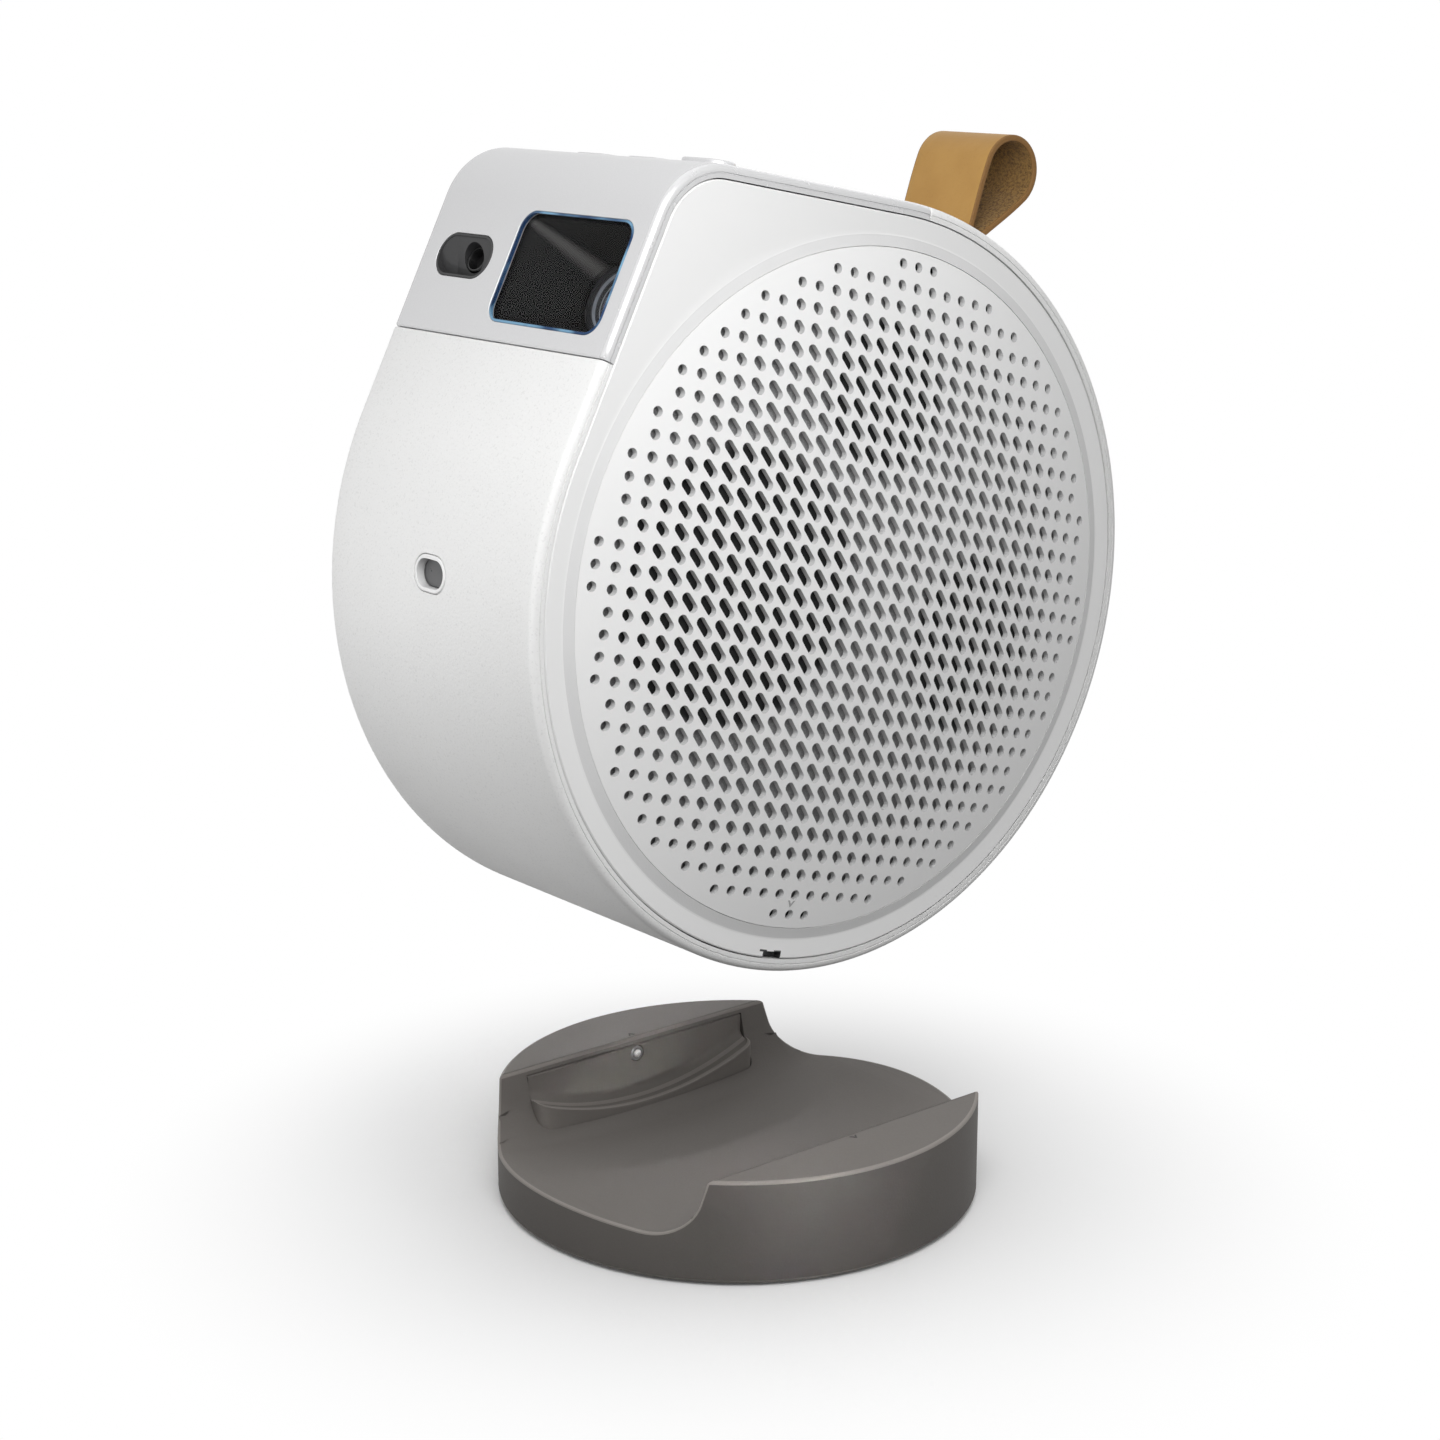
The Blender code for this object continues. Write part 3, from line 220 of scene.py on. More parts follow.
def blueEdge():
    made = Finish("blueGlassEdge", (0.010, 0.045, 0.125), 0.35, 0.0, Specular_IOR_Level=0.25)
    streak = made.ramp(made.noise(0.012, 2.0), 0.42, 0.58)
    made.tint(streak, (0.17, 0.34, 0.50))
    made.feed("Roughness", 0.30 + streak * 0.10)
    return made.material


def coatedLens():
    made = Finish("coatedLens", (0.010, 0.012, 0.030), 0.03, 0.0, Coat_Weight=1.0, IOR=1.7)
    bloom = made.ramp(made.noise(0.009, 1.0), 0.35, 0.70)
    made.tint(bloom, (0.050, 0.018, 0.060))
    return made.material


def tanLeather():
    made = Finish("tanLeather", (0.470, 0.264, 0.066), 0.46)
    grain = made.cells(0.0011)
    pull = made.noise(0.011, 4.0)
    pores = made.ramp(made.noise(0.00045, 3.0), 0.58, 0.75)
    made.tint(pull * 0.75 + pores * 0.25 - 0.12, (0.30, 0.145, 0.030))
    made.feed("Roughness", 0.44 + pull * 0.18)
    made.bump(grain * 0.6 - pores * 0.5, 0.00016, 0.35)
    return made.material


def suedeLeather():
    made = Finish("suedeLeather", (0.40, 0.225, 0.062), 0.92, 0.0, Sheen_Weight=0.05)
    fibre = made.noise(0.0007, 4.0, None, 0.8)
    patch = made.noise(0.006, 3.0)
    made.tint(made.ramp(fibre, 0.40, 0.62) * 0.8 + patch * 0.3 - 0.1, (0.095, 0.050, 0.014))
    made.bump(fibre, 0.00045, 0.9)
    return made.material


def leatherEdge():
    made = Finish("leatherEdge", (0.26, 0.130, 0.034), 0.70)
    fibre = made.noise(0.0005, 3.0, (0.3, 1.0, 1.0))
    made.tint(fibre * 0.9 - 0.1, (0.15, 0.072, 0.018))
    made.bump(fibre, 0.00020, 0.6)
    return made.material


def dockGrey(name="dockGrey", level=1.0):
    colour = shaded((0.116, 0.107, 0.099), level)
    made = Finish(name, colour, 0.62, Specular_IOR_Level=0.32)
    fine = made.noise(0.00045)
    wide = made.noise(0.018, 3.0)
    made.tint(fine * 0.30 + wide * 0.30, shaded(colour, 0.80))
    made.feed("Roughness", 0.58 + fine * 0.14)
    made.bump(fine, 0.00008, 0.45)
    return made.material


def circuitGreen():
    made = Finish("circuitGreen", (0.020, 0.125, 0.050), 0.42)
    track = made.node("ShaderNodeTexBrick", {"offset": 0.37}, {
        "Vector": made.place, "Scale": 190.0, "Mortar Size": 0.10,
        "Color1": (0, 0, 0, 1), "Color2": (0, 0, 0, 1), "Mortar": (1, 1, 1, 1)}, 1)
    made.tint(track * 0.75, (0.075, 0.250, 0.105))
    made.bump(track, 0.00006, 0.4)
    return made.material


def screenGrey(openings, fade):
    # a grey woven screen, with near-black spots on it as painted shade where the holes look into darkness
    made = Finish("speakerScreen", (0.26, 0.26, 0.262), 0.75)
    weave = made.cells(0.0007, "DISTANCE_TO_EDGE")
    cloth = made.tint(made.ramp(weave, 0.02, 0.12), (0.34, 0.34, 0.342))
    across = made.node("ShaderNodeVectorMath", {"operation": "MULTIPLY"}, {0: made.place, 1: (0, 1, 1)})
    # painted shade: each spot darkens the screen to near black
    for y, z, radius in openings:
        spot = drumPlace @ Vector((0, y, z))
        away = made.measure("DISTANCE", across, spot)
        cloth = made.blend(made.ramp(away, radius, radius - fade), cloth, (0.012, 0.012, 0.012, 1.0))
    made.feed("Base Color", cloth)
    made.bump(weave, 0.00020, 0.6)
    return made.material


finishes = {
    "speckled_white": speckledWhite(), "smooth_white": smoothWhite(), "satin_silver": satinSilver(),
    "black_plastic": mouldedPlastic("blackPlastic", (0.020, 0.020, 0.021), 0.42),
    "dark_plastic": mouldedPlastic("darkPlastic", (0.060, 0.060, 0.061), 0.42),
    "grey_plastic": mouldedPlastic("greyPlastic", (0.40, 0.40, 0.40), 0.45),
    "dark_glass": mouldedPlastic("smokedFilter", (0.085, 0.085, 0.088), 0.30, 0.002, 0.00001),
    "tan_leather": tanLeather(), "dock_grey": dockGrey(), "circuit_green": circuitGreen(),
    "rubber": grained("footRubber", (0.030, 0.030, 0.031), 0.85, 0.0007, 3.0, share=0.6,
                      second=(0.050, 0.050, 0.050), bump=(0.00020, 0.6)),
    "bare_metal": metal("bareAluminium", (0.62, 0.62, 0.63), 0.34, (1.0, 8.0, 1.0)),
    "steel": metal("plainSteel", (0.50, 0.50, 0.52), 0.30),
    "gold_plate": metal("goldPlate", (0.80, 0.62, 0.32), 0.24),
    "cell_wrap": grained("cellWrap", (0.045, 0.110, 0.260), 0.36, 0.004, 4.0, stretch=(1.0, 0.25, 1.0),
                         share=0.5, second=(0.030, 0.075, 0.180), bump=(0.00025, 0.5)),
    "cone_paper": grained("conePaper", (0.060, 0.060, 0.061), 0.80, 0.0009, 5.0, share=0.8,
                          second=(0.095, 0.095, 0.096), bump=(0.00025, 0.7)),
}
print("finishes made:", len(finishes))


# outlines and solids
def outward(angle):
    return Vector((0.0, -cos(angle), sin(angle)))


def onward(angle):
    return Vector((0.0, sin(angle), cos(angle)))


def steps(start, end, step):
    count = max(1, ceil(abs(end - start) / step - 1e-6))
    return [start + (end - start) * i / count for i in range(count + 1)]


def skinPlace(angle, x=0.0, along=0.0):
    onSkin = Matrix.Translation(outward(angle) * drum.radius)
    turned = Matrix.Rotation(pi / 2 - angle, 4, "X")
    return drumPlace @ onSkin @ turned @ Matrix.Translation((x, along, 0))


def circle(radius, count):
    turns = [tau * i / count for i in range(count)]
    return [(radius * cos(turn), radius * sin(turn)) for turn in turns]


def stadium(length, width, count=24):
    radius = width / 2
    reach = length / 2 - radius
    turns = [pi * (i / count - 0.5) for i in range(count + 1)]
    right = [(reach + radius * cos(turn), radius * sin(turn)) for turn in turns]
    return right + [(-x, -y) for x, y in right]


def quarter(count):
    return [pi / 2 * i / count for i in range(count + 1)]


def roundedRect(width, height, radius, count=10):
    points = []
    for corner, (side, level) in enumerate(((1, 1), (-1, 1), (-1, -1), (1, -1))):
        for turn in quarter(count):
            turn += pi / 2 * corner
            x = side * (width / 2 - radius) + radius * cos(turn)
            points.append((x, level * (height / 2 - radius) + radius * sin(turn)))
    return points


def flat(outline, height):
    return [(x, y, height) for x, y in outline]


def pill(length, width, height, slim=0.0, count=24):
    return flat(stadium(length - slim, width - slim, count), height)


def prism(outline, low, high):
    return skinned([flat(outline, low), flat(outline, high)])


def skinned(rings, closed=False, ends=True):
    mesh = bmesh.new()
    loops = [[mesh.verts.new(point) for point in ring] for ring in rings]
    pairs = list(zip(loops, loops[1:]))
    if closed:
        pairs.append((loops[-1], loops[0]))
    elif ends:
        mesh.faces.new(loops[0])
        mesh.faces.new(loops[-1])
    for low, high in pairs:
        for i in range(len(low)):
            j = (i + 1) % len(low)
            mesh.faces.new((low[i], low[j], high[j], high[i]))
    bmesh.ops.recalc_face_normals(mesh, faces=mesh.faces)
    return mesh


def turnedSolid(profile, count=64):
    return skinned([flat(circle(radius, count), height) for radius, height in profile])


def flared(outline, grow, low, high):
    # an opening's cutter, wider at the skin so that the edge is broken
    def grown(extra):
        points = []
        for i, (x, y) in enumerate(outline):
            before = Vector(outline[i - 1])
            after = Vector(outline[(i + 1) % len(outline)])
            way = after - before
            side = Vector((way.y, -way.x))
            if side.length > 0:
                side.normalize()
            points.append((x + side.x * extra, y + side.y * extra))
        return points

    walls = [flat(outline, low), flat(outline, -grow)]
    return skinned(walls + [flat(grown(grow), 0), flat(grown(2 * grow), high)])


def opening(outline, edge, above=0.003):
    return flared(outline, edge, -2 * drum.wall, above)


def linked(name, data):
    made = bpy.data.objects.new(name, data)
    bpy.context.scene.collection.objects.link(made)
    return made


def newObject(name, mesh, place=Matrix.Identity(4)):
    data = bpy.data.meshes.new(name)
    mesh.to_mesh(data)
    mesh.free()
    data.transform(place)
    return linked(name, data)


def bake(item):
    bpy.context.view_layer.update()
    graph = bpy.context.evaluated_depsgraph_get()
    made = bpy.data.meshes.new_from_object(item.evaluated_get(graph), depsgraph=graph)
    item.modifiers.clear()
    spent = item.data
    item.data = made
    bpy.data.meshes.remove(spent)
    made.name = item.name


def cutOut(item, cutters, bevel=None):
    # the cutters of one call become one tool, so they stay clear of each other
    joined = bmesh.new()
    for mesh, place in cutters:
        spare = bpy.data.meshes.new("spare")
        mesh.to_mesh(spare)
        mesh.free()
        spare.transform(place)
        joined.from_mesh(spare)
        bpy.data.meshes.remove(spare)
    tool = newObject(item.name + "Cutter", joined)
    step = item.modifiers.new("cut", "BOOLEAN")
    step.operation = "DIFFERENCE"
    step.solver = "EXACT"
    step.object = tool
    if bevel:
        edge = item.modifiers.new("edge", "BEVEL")
        edge.width = bevel.width
        edge.segments = bevel.segments
        edge.limit_method = "ANGLE"
        edge.angle_limit = radians(bevel.angle)
        edge.material = bevel.material
        edge.use_clamp_overlap = False
    bake(item)
    spent = tool.data
    bpy.data.objects.remove(tool)
    bpy.data.meshes.remove(spent)


def knit(item, radius, pitch, weld=0.00002):
    # long open edges are split to meet the short ones along them, wide faces become even triangles,
    # and nothing stands past the round side
    mesh = bmesh.new()
    mesh.from_mesh(item.data)
    for spot in mesh.verts:
        away = spot.co.xy.length
        if away > radius:
            spot.co.xy *= radius / away
    for edge in [edge for edge in mesh.edges if edge.is_boundary]:
        pieces = round(edge.calc_length() / pitch)
        if pieces > 1:
            bmesh.ops.subdivide_edges(mesh, edges=[edge], cuts=pieces - 1)
    bmesh.ops.remove_doubles(mesh, verts=mesh.verts, dist=weld)
    wide = [face for face in mesh.faces if len(face.verts) > 4]
    bmesh.ops.triangulate(mesh, faces=wide, ngon_method="BEAUTY")
    mesh.to_mesh(item.data)
    mesh.free()


def dress(item, materials):
    item.data.materials.clear()
    for made in materials:
        item.data.materials.append(made)


def settle(item, body, nodes, materials, angle=32):
    # last step of every piece: shading, finish, body and the CAD nodes that it stands for
    item.data.shade_smooth()
    item.data.set_sharp_from_angle(angle=radians(angle))
    painted = [face.material_index for face in item.data.polygons]
    dress(item, materials)
    item.data.polygons.foreach_set("material_index", painted)
    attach(item, body)
    if nodes:
        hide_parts(*nodes)


def paint(item, rule):
    # material index per face, from the face's centre and normal
    for face in item.data.polygons:
        face.material_index = rule(face.center, face.normal)


# drum skin
def circleNode(angle):
    return outward(angle) * drum.radius, outward(angle), onward(angle)


def facetNode(along):
    return outward(facet) * drum.radius + onward(facet) * along, outward(facet), onward(facet)


def topNode(along):
    return outward(top) * drum.radius - onward(top) * along, outward(top), onward(top)


cornerMiddle = (facet + top) / 2
cornerHalf = (top - facet) / 2
cornerReach = (drum.radius - drum.cornerRadius) / cos(cornerHalf)
flatLength = (drum.radius - drum.cornerRadius) * tan(cornerHalf)


def cornerNode(angle):
    middle = outward(cornerMiddle) * cornerReach
    return middle + outward(angle) * drum.cornerRadius, outward(angle), onward(angle)


def bandSection(columns):
    wide, line, low = drum.halfWidth, drum.edgeLine, -drum.edgeDown
    half = []
    for turn in quarter(8):
        x = wide - drum.edgeAcross * (1 - sin(turn))
        half.append((x, drum.edgeDown * (cos(turn) - 1)))
    half += [(wide - line, low - 0.3 * line), (wide - line, low - line), (wide, low - 1.3 * line)]
    inner = half[0][0]
    middle = [(inner - 2 * inner * i / columns, 0.0) for i in range(1, columns)]
    across = list(reversed(half)) + middle + [(-x, out) for x, out in half]
    return across + [(-wide, -drum.wall), (wide, -drum.wall)]


def sweptShell(path, columns=18, ease=0.00035):
    section = bandSection(columns)
    lowest = len(section) - 2

    def ring(node, drop, back):
        point, normal, way = node
        made = []
        for i, (x, out) in enumerate(section):
            sunk = out - (drop if i < lowest else 0.0)
            made.append(point + normal * sunk + way * back + Vector((x, 0, 0)))
        return made

    rings = [ring(path[0], ease, 0.0), ring(path[0], 0.0, ease)]
    rings += [ring(node, 0.0, 0.0) for node in path[1:-1]]
    rings += [ring(path[-1], 0.0, -ease), ring(path[-1], ease, 0.0)]
    return skinned(rings)


bandSizes = Sizes(
    arcStep=1.5, flatStep=0.004, edge=0.0002, receiver=(0.0128, 0.0090), receiverAngle=-7.1,
    receiverX=0.001, loopSlot=(0.0266, 0.0054, 0.0008), loopAngle=116.6, port=(0.0440, 0.0140, 0.0030),
)
receiverPlace = skinPlace(radians(bandSizes.receiverAngle), bandSizes.receiverX)
loopPlace = skinPlace(radians(bandSizes.loopAngle))


def makeBand():
    sizes = bandSizes
    start = panelRear + drum.gap / drum.radius
    path = [circleNode(turn) for turn in steps(start, tau + facet, radians(sizes.arcStep))]
    path += [facetNode(along) for along in steps(0, drum.panelSeam, sizes.flatStep)[1:]]
    band = newObject("drumBand", sweptShell(path), drumPlace)
    cutOut(band, [
        (opening(stadium(*sizes.receiver), sizes.edge), receiverPlace),
        (opening(roundedRect(*sizes.loopSlot), sizes.edge), loopPlace),
        (opening(roundedRect(*sizes.port), sizes.edge), skinPlace(pi)),
    ])
    settle(band, "projector", ["drum_band"], [finishes["speckled_white"]])


makeBand()
print("drum band done")

panelSizes = Sizes(
    arcStep=2.5, flatStep=0.004, edge=0.0001, rimShare=0.98, window=(0.0421, 0.0273, 0.0046),
    windowX=0.01445, windowAlong=0.0398, sensor=(0.0216, 0.0109), sensorX=-0.0236, sensorAlong=0.04075,
    key=(0.0156, 0.0086), keyAbove=0.004, keyPitch=0.020, keySetback=0.0442,
)
lensAxis = skinPlace(facet, panelSizes.windowX, panelSizes.windowAlong)
sensorAxis = skinPlace(facet, panelSizes.sensorX, panelSizes.sensorAlong)


def keyPlace(column):
    return skinPlace(top, column * panelSizes.keyPitch, -panelSizes.keySetback)


def makePanel():
    sizes = panelSizes
    start = drum.panelSeam + drum.gap
    path = [facetNode(along) for along in steps(start, flatLength, sizes.flatStep)[:-1]]
    path += [cornerNode(turn) for turn in steps(facet, top, radians(sizes.arcStep))]
    path += [topNode(along) for along in reversed(steps(0, flatLength, sizes.flatStep)[1:-1])]
    path += [circleNode(turn) for turn in steps(top, panelRear, radians(sizes.arcStep))]
    panel = newObject("topPanel", sweptShell(path), drumPlace)
    edge = sizes.edge
    cutters = [
        (opening(roundedRect(*sizes.window), edge), lensAxis),
        (opening(stadium(*sizes.sensor), edge), sensorAxis),
    ]
    for column in (-1, 0, 1):
        cutters.append((opening(stadium(*sizes.key), 2 * edge, sizes.keyAbove), keyPlace(column)))
    cutOut(panel, cutters)
    rim = drum.halfWidth - drum.edgeAcross * sizes.rimShare
    paint(panel, lambda centre, normal: 1 if abs(centre.x) > rim else 0)
    shine = grained("polishedRim", (0.62, 0.62, 0.625), 0.26, 0.0030, 3.0, 0.35, share=0.15,
                    second=(0.55, 0.55, 0.56), swing=(0.22, 0.08))
    settle(panel, "projector", ["top_panel"], [finishes["satin_silver"], shine])


makePanel()
print("top panel done")

coverSizes = Sizes(
    arcStep=1.5, flatStep=0.003, cornerStep=3.0, rise=-0.0002, lipWidth=0.0030, lipRise=0.0008, rings=8,
    edge=0.0003, soft=0.0004, slack=0.0001, ringLevel=0.70, notchAngle=-87.9,
    notch=(0.0056, 0.0017, 0.0024),
)


def rimPath():
    sizes = coverSizes
    flats = steps(0, flatLength, sizes.flatStep)[1:-1]
    nodes = [cornerNode(turn) for turn in steps(facet, top, radians(sizes.cornerStep))]
    nodes += [topNode(along) for along in reversed(flats)]
    nodes += [circleNode(turn) for turn in steps(top, tau + facet, radians(sizes.arcStep))]
    return nodes + [facetNode(along) for along in flats]


def makeCover(word, side):
    sizes = coverSizes
    inset = drum.wall + drum.gap
    nodes = rimPath()
    face = drum.halfWidth
    hole = drum.grilleOpening
    brim = hole + sizes.lipWidth
    crest = face + sizes.rise
    rim = [point - normal * inset for point, normal, way in nodes]
    near = [point - normal * (inset + sizes.edge) for point, normal, way in nodes]

    def ring(points, x):
        return [(side * x, point.y, point.z) for point in points]

    def roundRing(radius, x):
        return ring([point.normalized() * radius for point in rim], x)

    rings = [ring(rim, drum.coverBack), ring(rim, face - sizes.edge), ring(near, face)]
    for i in range(1, sizes.rings):
        share = i / sizes.rings
        between = [start.lerp(start.normalized() * brim, share) for start in near]
        rings.append(ring(between, face + sizes.rise * share))
    soft, lift = sizes.soft, sizes.lipRise
    slope = lift / sizes.lipWidth
    rings += [
        roundRing(brim, crest),
        roundRing(brim - soft, crest + soft * slope * 0.5),
        roundRing(brim - 2 * soft, crest + soft * slope * 1.5),
        roundRing(hole, crest + lift),
        roundRing(hole, drum.coverBack),
    ]
    cover = newObject(word + "Cover", skinned(rings, closed=True), drumPlace)
    slot = None
    width, height, depth = sizes.notch
    if side > 0:
        angle = radians(sizes.notchAngle)
        spot = outward(angle) * (drum.radius - inset - height + drum.edgeDown)
        turned = Matrix.Rotation(pi / 2 - angle, 4, "X")
        place = drumPlace @ Matrix.Translation((face, spot.y, spot.z)) @ turned
        cutOut(cover, [(prism(roundedRect(2 * depth, width, soft, 3), -height, height), place)])
        slot = place.inverted()
    upright = drumPlace.inverted()
    slack = sizes.slack
    reach = (depth + slack, width / 2 + slack, height + slack)

    def rule(centre, normal):
        # the slot's walls, then the slanting ring around the grille, which is painted darker as painted shade
        if slot and all(abs(part) < limit for part, limit in zip(slot @ centre, reach)):
            return 1
        spot = upright @ centre
        onShadedRing = hole + slack < spot.yz.length < brim - soft
        return 2 if onShadedRing and abs(spot.x) > drum.coverBack + 10 * slack else 0

    paint(cover, rule)
    # painted shade: the slanting ring gets a darker grey than the cover, for the shade on its slope
    shade = mouldedPlastic(word + "CoverRingShade", (sizes.ringLevel,) * 3, 0.40)
    whites = [finishes["smooth_white"], finishes["black_plastic"], shade]
    settle(cover, "projector", [word + "_cover"], whites, 10)


for word, side in sides:
    makeCover(word, side)
print("side covers done")

# grille: a domed disc with a round field of holes that stretch into slanting slots towards the middle
grilleSizes = Sizes(
    radius=0.0814, dome=0.0081, proud=0.00008, thickness=0.0016, edge=0.00012, skirt=0.0007,
)
holeSizes = Sizes(
    pitch=0.00503, count=32, skew=0.0175, field=0.0784, smallRadius=0.0012, slotRadius=0.00122,
    slotReach=0.00160, growOver=0.030, depth=0.030, corners=14,
)


def grilleFace(radius):
    sizes = grilleSizes
    return drum.coverCrest + sizes.proud + sizes.dome * (1 - (radius / sizes.radius) ** 2)


def grilleBlank():
    sizes = grilleSizes
    radius = sizes.radius
    inside = radius - sizes.skirt
    face = grilleFace(radius)
    dome = [radius * share / 16 for share in range(2, 16, 2)]
    profile = [(step, grilleFace(step) - sizes.thickness) for step in dome]
    profile += [(inside, grilleFace(inside) - sizes.thickness), (inside, drum.coverBack),
                (radius, drum.coverBack), (radius, face - sizes.edge),
                (radius - sizes.edge * 0.3, face - sizes.edge * 0.3), (radius - sizes.edge, face)]
    profile += [(step, grilleFace(step)) for step in reversed(dome)]
    return turnedSolid(profile, 144)


def interface(tree, sizes):
    tree.interface.new_socket("Geometry", in_out="INPUT", socket_type="NodeSocketGeometry")
    tree.interface.new_socket("Geometry", in_out="OUTPUT", socket_type="NodeSocketGeometry")
    for key, value in sizes.items():
        kind = "NodeSocketInt" if isinstance(value, int) else "NodeSocketFloat"
        tree.interface.new_socket(key, in_out="INPUT", socket_type=kind)


def growTree(item, tree, sizes):
    step = item.modifiers.new(tree.name, "NODES")
    step.node_group = tree
    for socket in tree.interface.items_tree:
        if socket.in_out == "INPUT" and socket.name in sizes:
            step[socket.identifier] = sizes[socket.name]
    bake(item)


def perforationTree(material):
    tree = bpy.data.node_groups.new("grillePerforation", "GeometryNodeTree")
    interface(tree, holeSizes)
    graph = Graph(tree)
    entry = tree.nodes.new("NodeGroupInput")
    size = {socket.name: Wire(graph, socket) for socket in entry.outputs if socket.name}
    span = size["pitch"] * (size["count"] - 1)
    grid = graph.node("GeometryNodeMeshGrid", {}, {
        "Size X": span, "Size Y": span, "Vertices X": size["count"], "Vertices Y": size["count"]})
    here = graph.node("GeometryNodeInputPosition")
    corner = graph.node("ShaderNodeSeparateXYZ", {}, {0: here})
    side = corner.beside("Y")
    leant = graph.node("ShaderNodeCombineXYZ", {}, {
        0: corner + side * size["skew"], 1: side + corner * size["skew"]})
    grid = graph.node("GeometryNodeSetPosition", {}, {"Geometry": grid, "Position": leant})
    away = graph.measure("LENGTH", here)
    kept = graph.node("GeometryNodeDeleteGeometry", {"domain": "POINT"}, {
        "Geometry": grid, "Selection": away > size["field"]})
    swell = graph.node("ShaderNodeMapRange", {"interpolation_type": "SMOOTHSTEP"}, {
        0: (size["field"] - away) / size["growOver"], 1: 0.0, 2: 1.0, 3: 0.0, 4: 1.0})

    def store(geometry, name, kind, value):
        return graph.node("GeometryNodeStoreNamedAttribute", {"data_type": kind, "domain": "POINT"}, {
            "Geometry": geometry, "Name": name, "Value": value})

    def recall(name, kind):
        return graph.node("GeometryNodeInputNamedAttribute", {"data_type": kind}, {"Name": name})

    marked = store(store(kept, "centre", "FLOAT_VECTOR", here), "swell", "FLOAT", swell)
    plug = graph.node("GeometryNodeMeshCylinder", {"fill_type": "NGON"}, {
        "Vertices": size["corners"], "Side Segments": 1, "Radius": 1.0, "Depth": 1.0})
    plug = store(plug, "local", "FLOAT_VECTOR", here)
    plugs = graph.node("GeometryNodeInstanceOnPoints", {}, {"Points": marked, "Instance": plug})
    loose = graph.node("GeometryNodeRealizeInstances", {}, {"Geometry": plugs})
    local = recall("local", "FLOAT_VECTOR")
    centre = recall("centre", "FLOAT_VECTOR")
    grown = recall("swell", "FLOAT")
    parts = graph.node("ShaderNodeSeparateXYZ", {}, {0: local})
    up = parts.beside("Z")
    radius = size["smallRadius"] + (size["slotRadius"] - size["smallRadius"]) * grown
    end = graph.node("ShaderNodeMath", {"operation": "SIGN"}, {0: parts})
    along = parts * radius + end * size["slotReach"] * grown
    across = parts.beside("Y") * radius
    half = sqrt(0.5)
    offset = graph.node("ShaderNodeCombineXYZ", {}, {
        0: (along - across) * half, 1: (along + across) * half, 2: up * size["depth"] + drum.coverCrest})
    spot = graph.node("ShaderNodeVectorMath", {"operation": "ADD"}, {0: centre, 1: offset})
    formed = graph.node("GeometryNodeSetPosition", {}, {"Geometry": loose, "Position": spot})
    cut = graph.node("GeometryNodeMeshBoolean", {"operation": "DIFFERENCE", "solver": "EXACT"}, {
        0: size["Geometry"], 1: formed})
    real = graph.node("GeometryNodeRealizeInstances", {}, {"Geometry": cut})
    done = graph.node("GeometryNodeSetMaterial", {}, {"Geometry": real, "Material": material})
    leave = tree.nodes.new("NodeGroupOutput")
    tree.links.new(done.socket, leave.inputs[0])
    return tree


def domeNormals(item, limit=0.95):
    # the dome's own normals on its skins, and plain ones in the holes
    mesh = item.data
    slope = 2 * grilleSizes.dome / grilleSizes.radius ** 2
    normals = []
    for face in mesh.polygons:
        for index in face.vertices:
            spot = mesh.vertices[index].co
            ideal = Vector((slope * spot.x, slope * spot.y, 1.0)).normalized()
            lean = face.normal.dot(ideal)
            if lean > limit:
                normals.append(ideal)
            elif lean < -limit:
                normals.append(-ideal)
            else:
                normals.append(face.normal.copy())
    mesh.normals_split_custom_set(normals)


def makeGrilles():
    sizes = grilleSizes
    first = newObject("rightGrille", grilleBlank())
    growTree(first, perforationTree(finishes["smooth_white"]), holeSizes)
    for attribute in ("centre", "swell", "local"):
        found = first.data.attributes.get(attribute)
        if found:
            first.data.attributes.remove(found)
    second = linked("leftGrille", first.data.copy())
    inner = sizes.radius - 2 * sizes.skirt
    # painted shade: the walls of the holes get a greyer finish than the face, for the shade inside them
    whites = (finishes["smooth_white"], mouldedPlastic("holeWallShade", (0.66, 0.66, 0.66), 0.5))
    for item, (word, side) in zip((first, second), sides):
        dress(item, whites)
        paint(item, lambda centre, normal: 1 if abs(normal.z) < 0.5 and centre.xy.length < inner else 0)
        item.data.shade_smooth()
        domeNormals(item)
        item.data.transform(drumPlace @ Matrix.Rotation(side * pi / 2, 4, "Y"))
        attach(item, "projector")
        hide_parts(word + "_grille")
    print("grille faces:", len(first.data.polygons))


makeGrilles()
print("grilles done")

screenSizes = Sizes(
    radius=0.0775, behind=0.0031, thickness=0.0005, rings=12, fade=0.004,
    # painted shade: centres and radii of the near-black spots on the screens
    openings=((-0.038, -0.002, 0.035), (-0.003, 0.047, 0.020), (0.040, -0.008, 0.024)),
)


def makeScreen(word, side):
    # woven cloth just behind the holes
    sizes = screenSizes
    rise = [sizes.radius * i / sizes.rings for i in range(1, sizes.rings + 1)]
    front = [(step, grilleFace(step) - sizes.behind) for step in rise]
    back = [(step, height - sizes.thickness) for step, height in front]
    turned = drumPlace @ Matrix.Rotation(side * pi / 2, 4, "Y")
    screen = newObject(word + "Screen", turnedSolid(back + list(reversed(front)), 96), turned)
    settle(screen, "projector", [], [screenGrey(sizes.openings, sizes.fade)])


for word, side in sides:
    makeScreen(word, side)
print("speaker screens done")

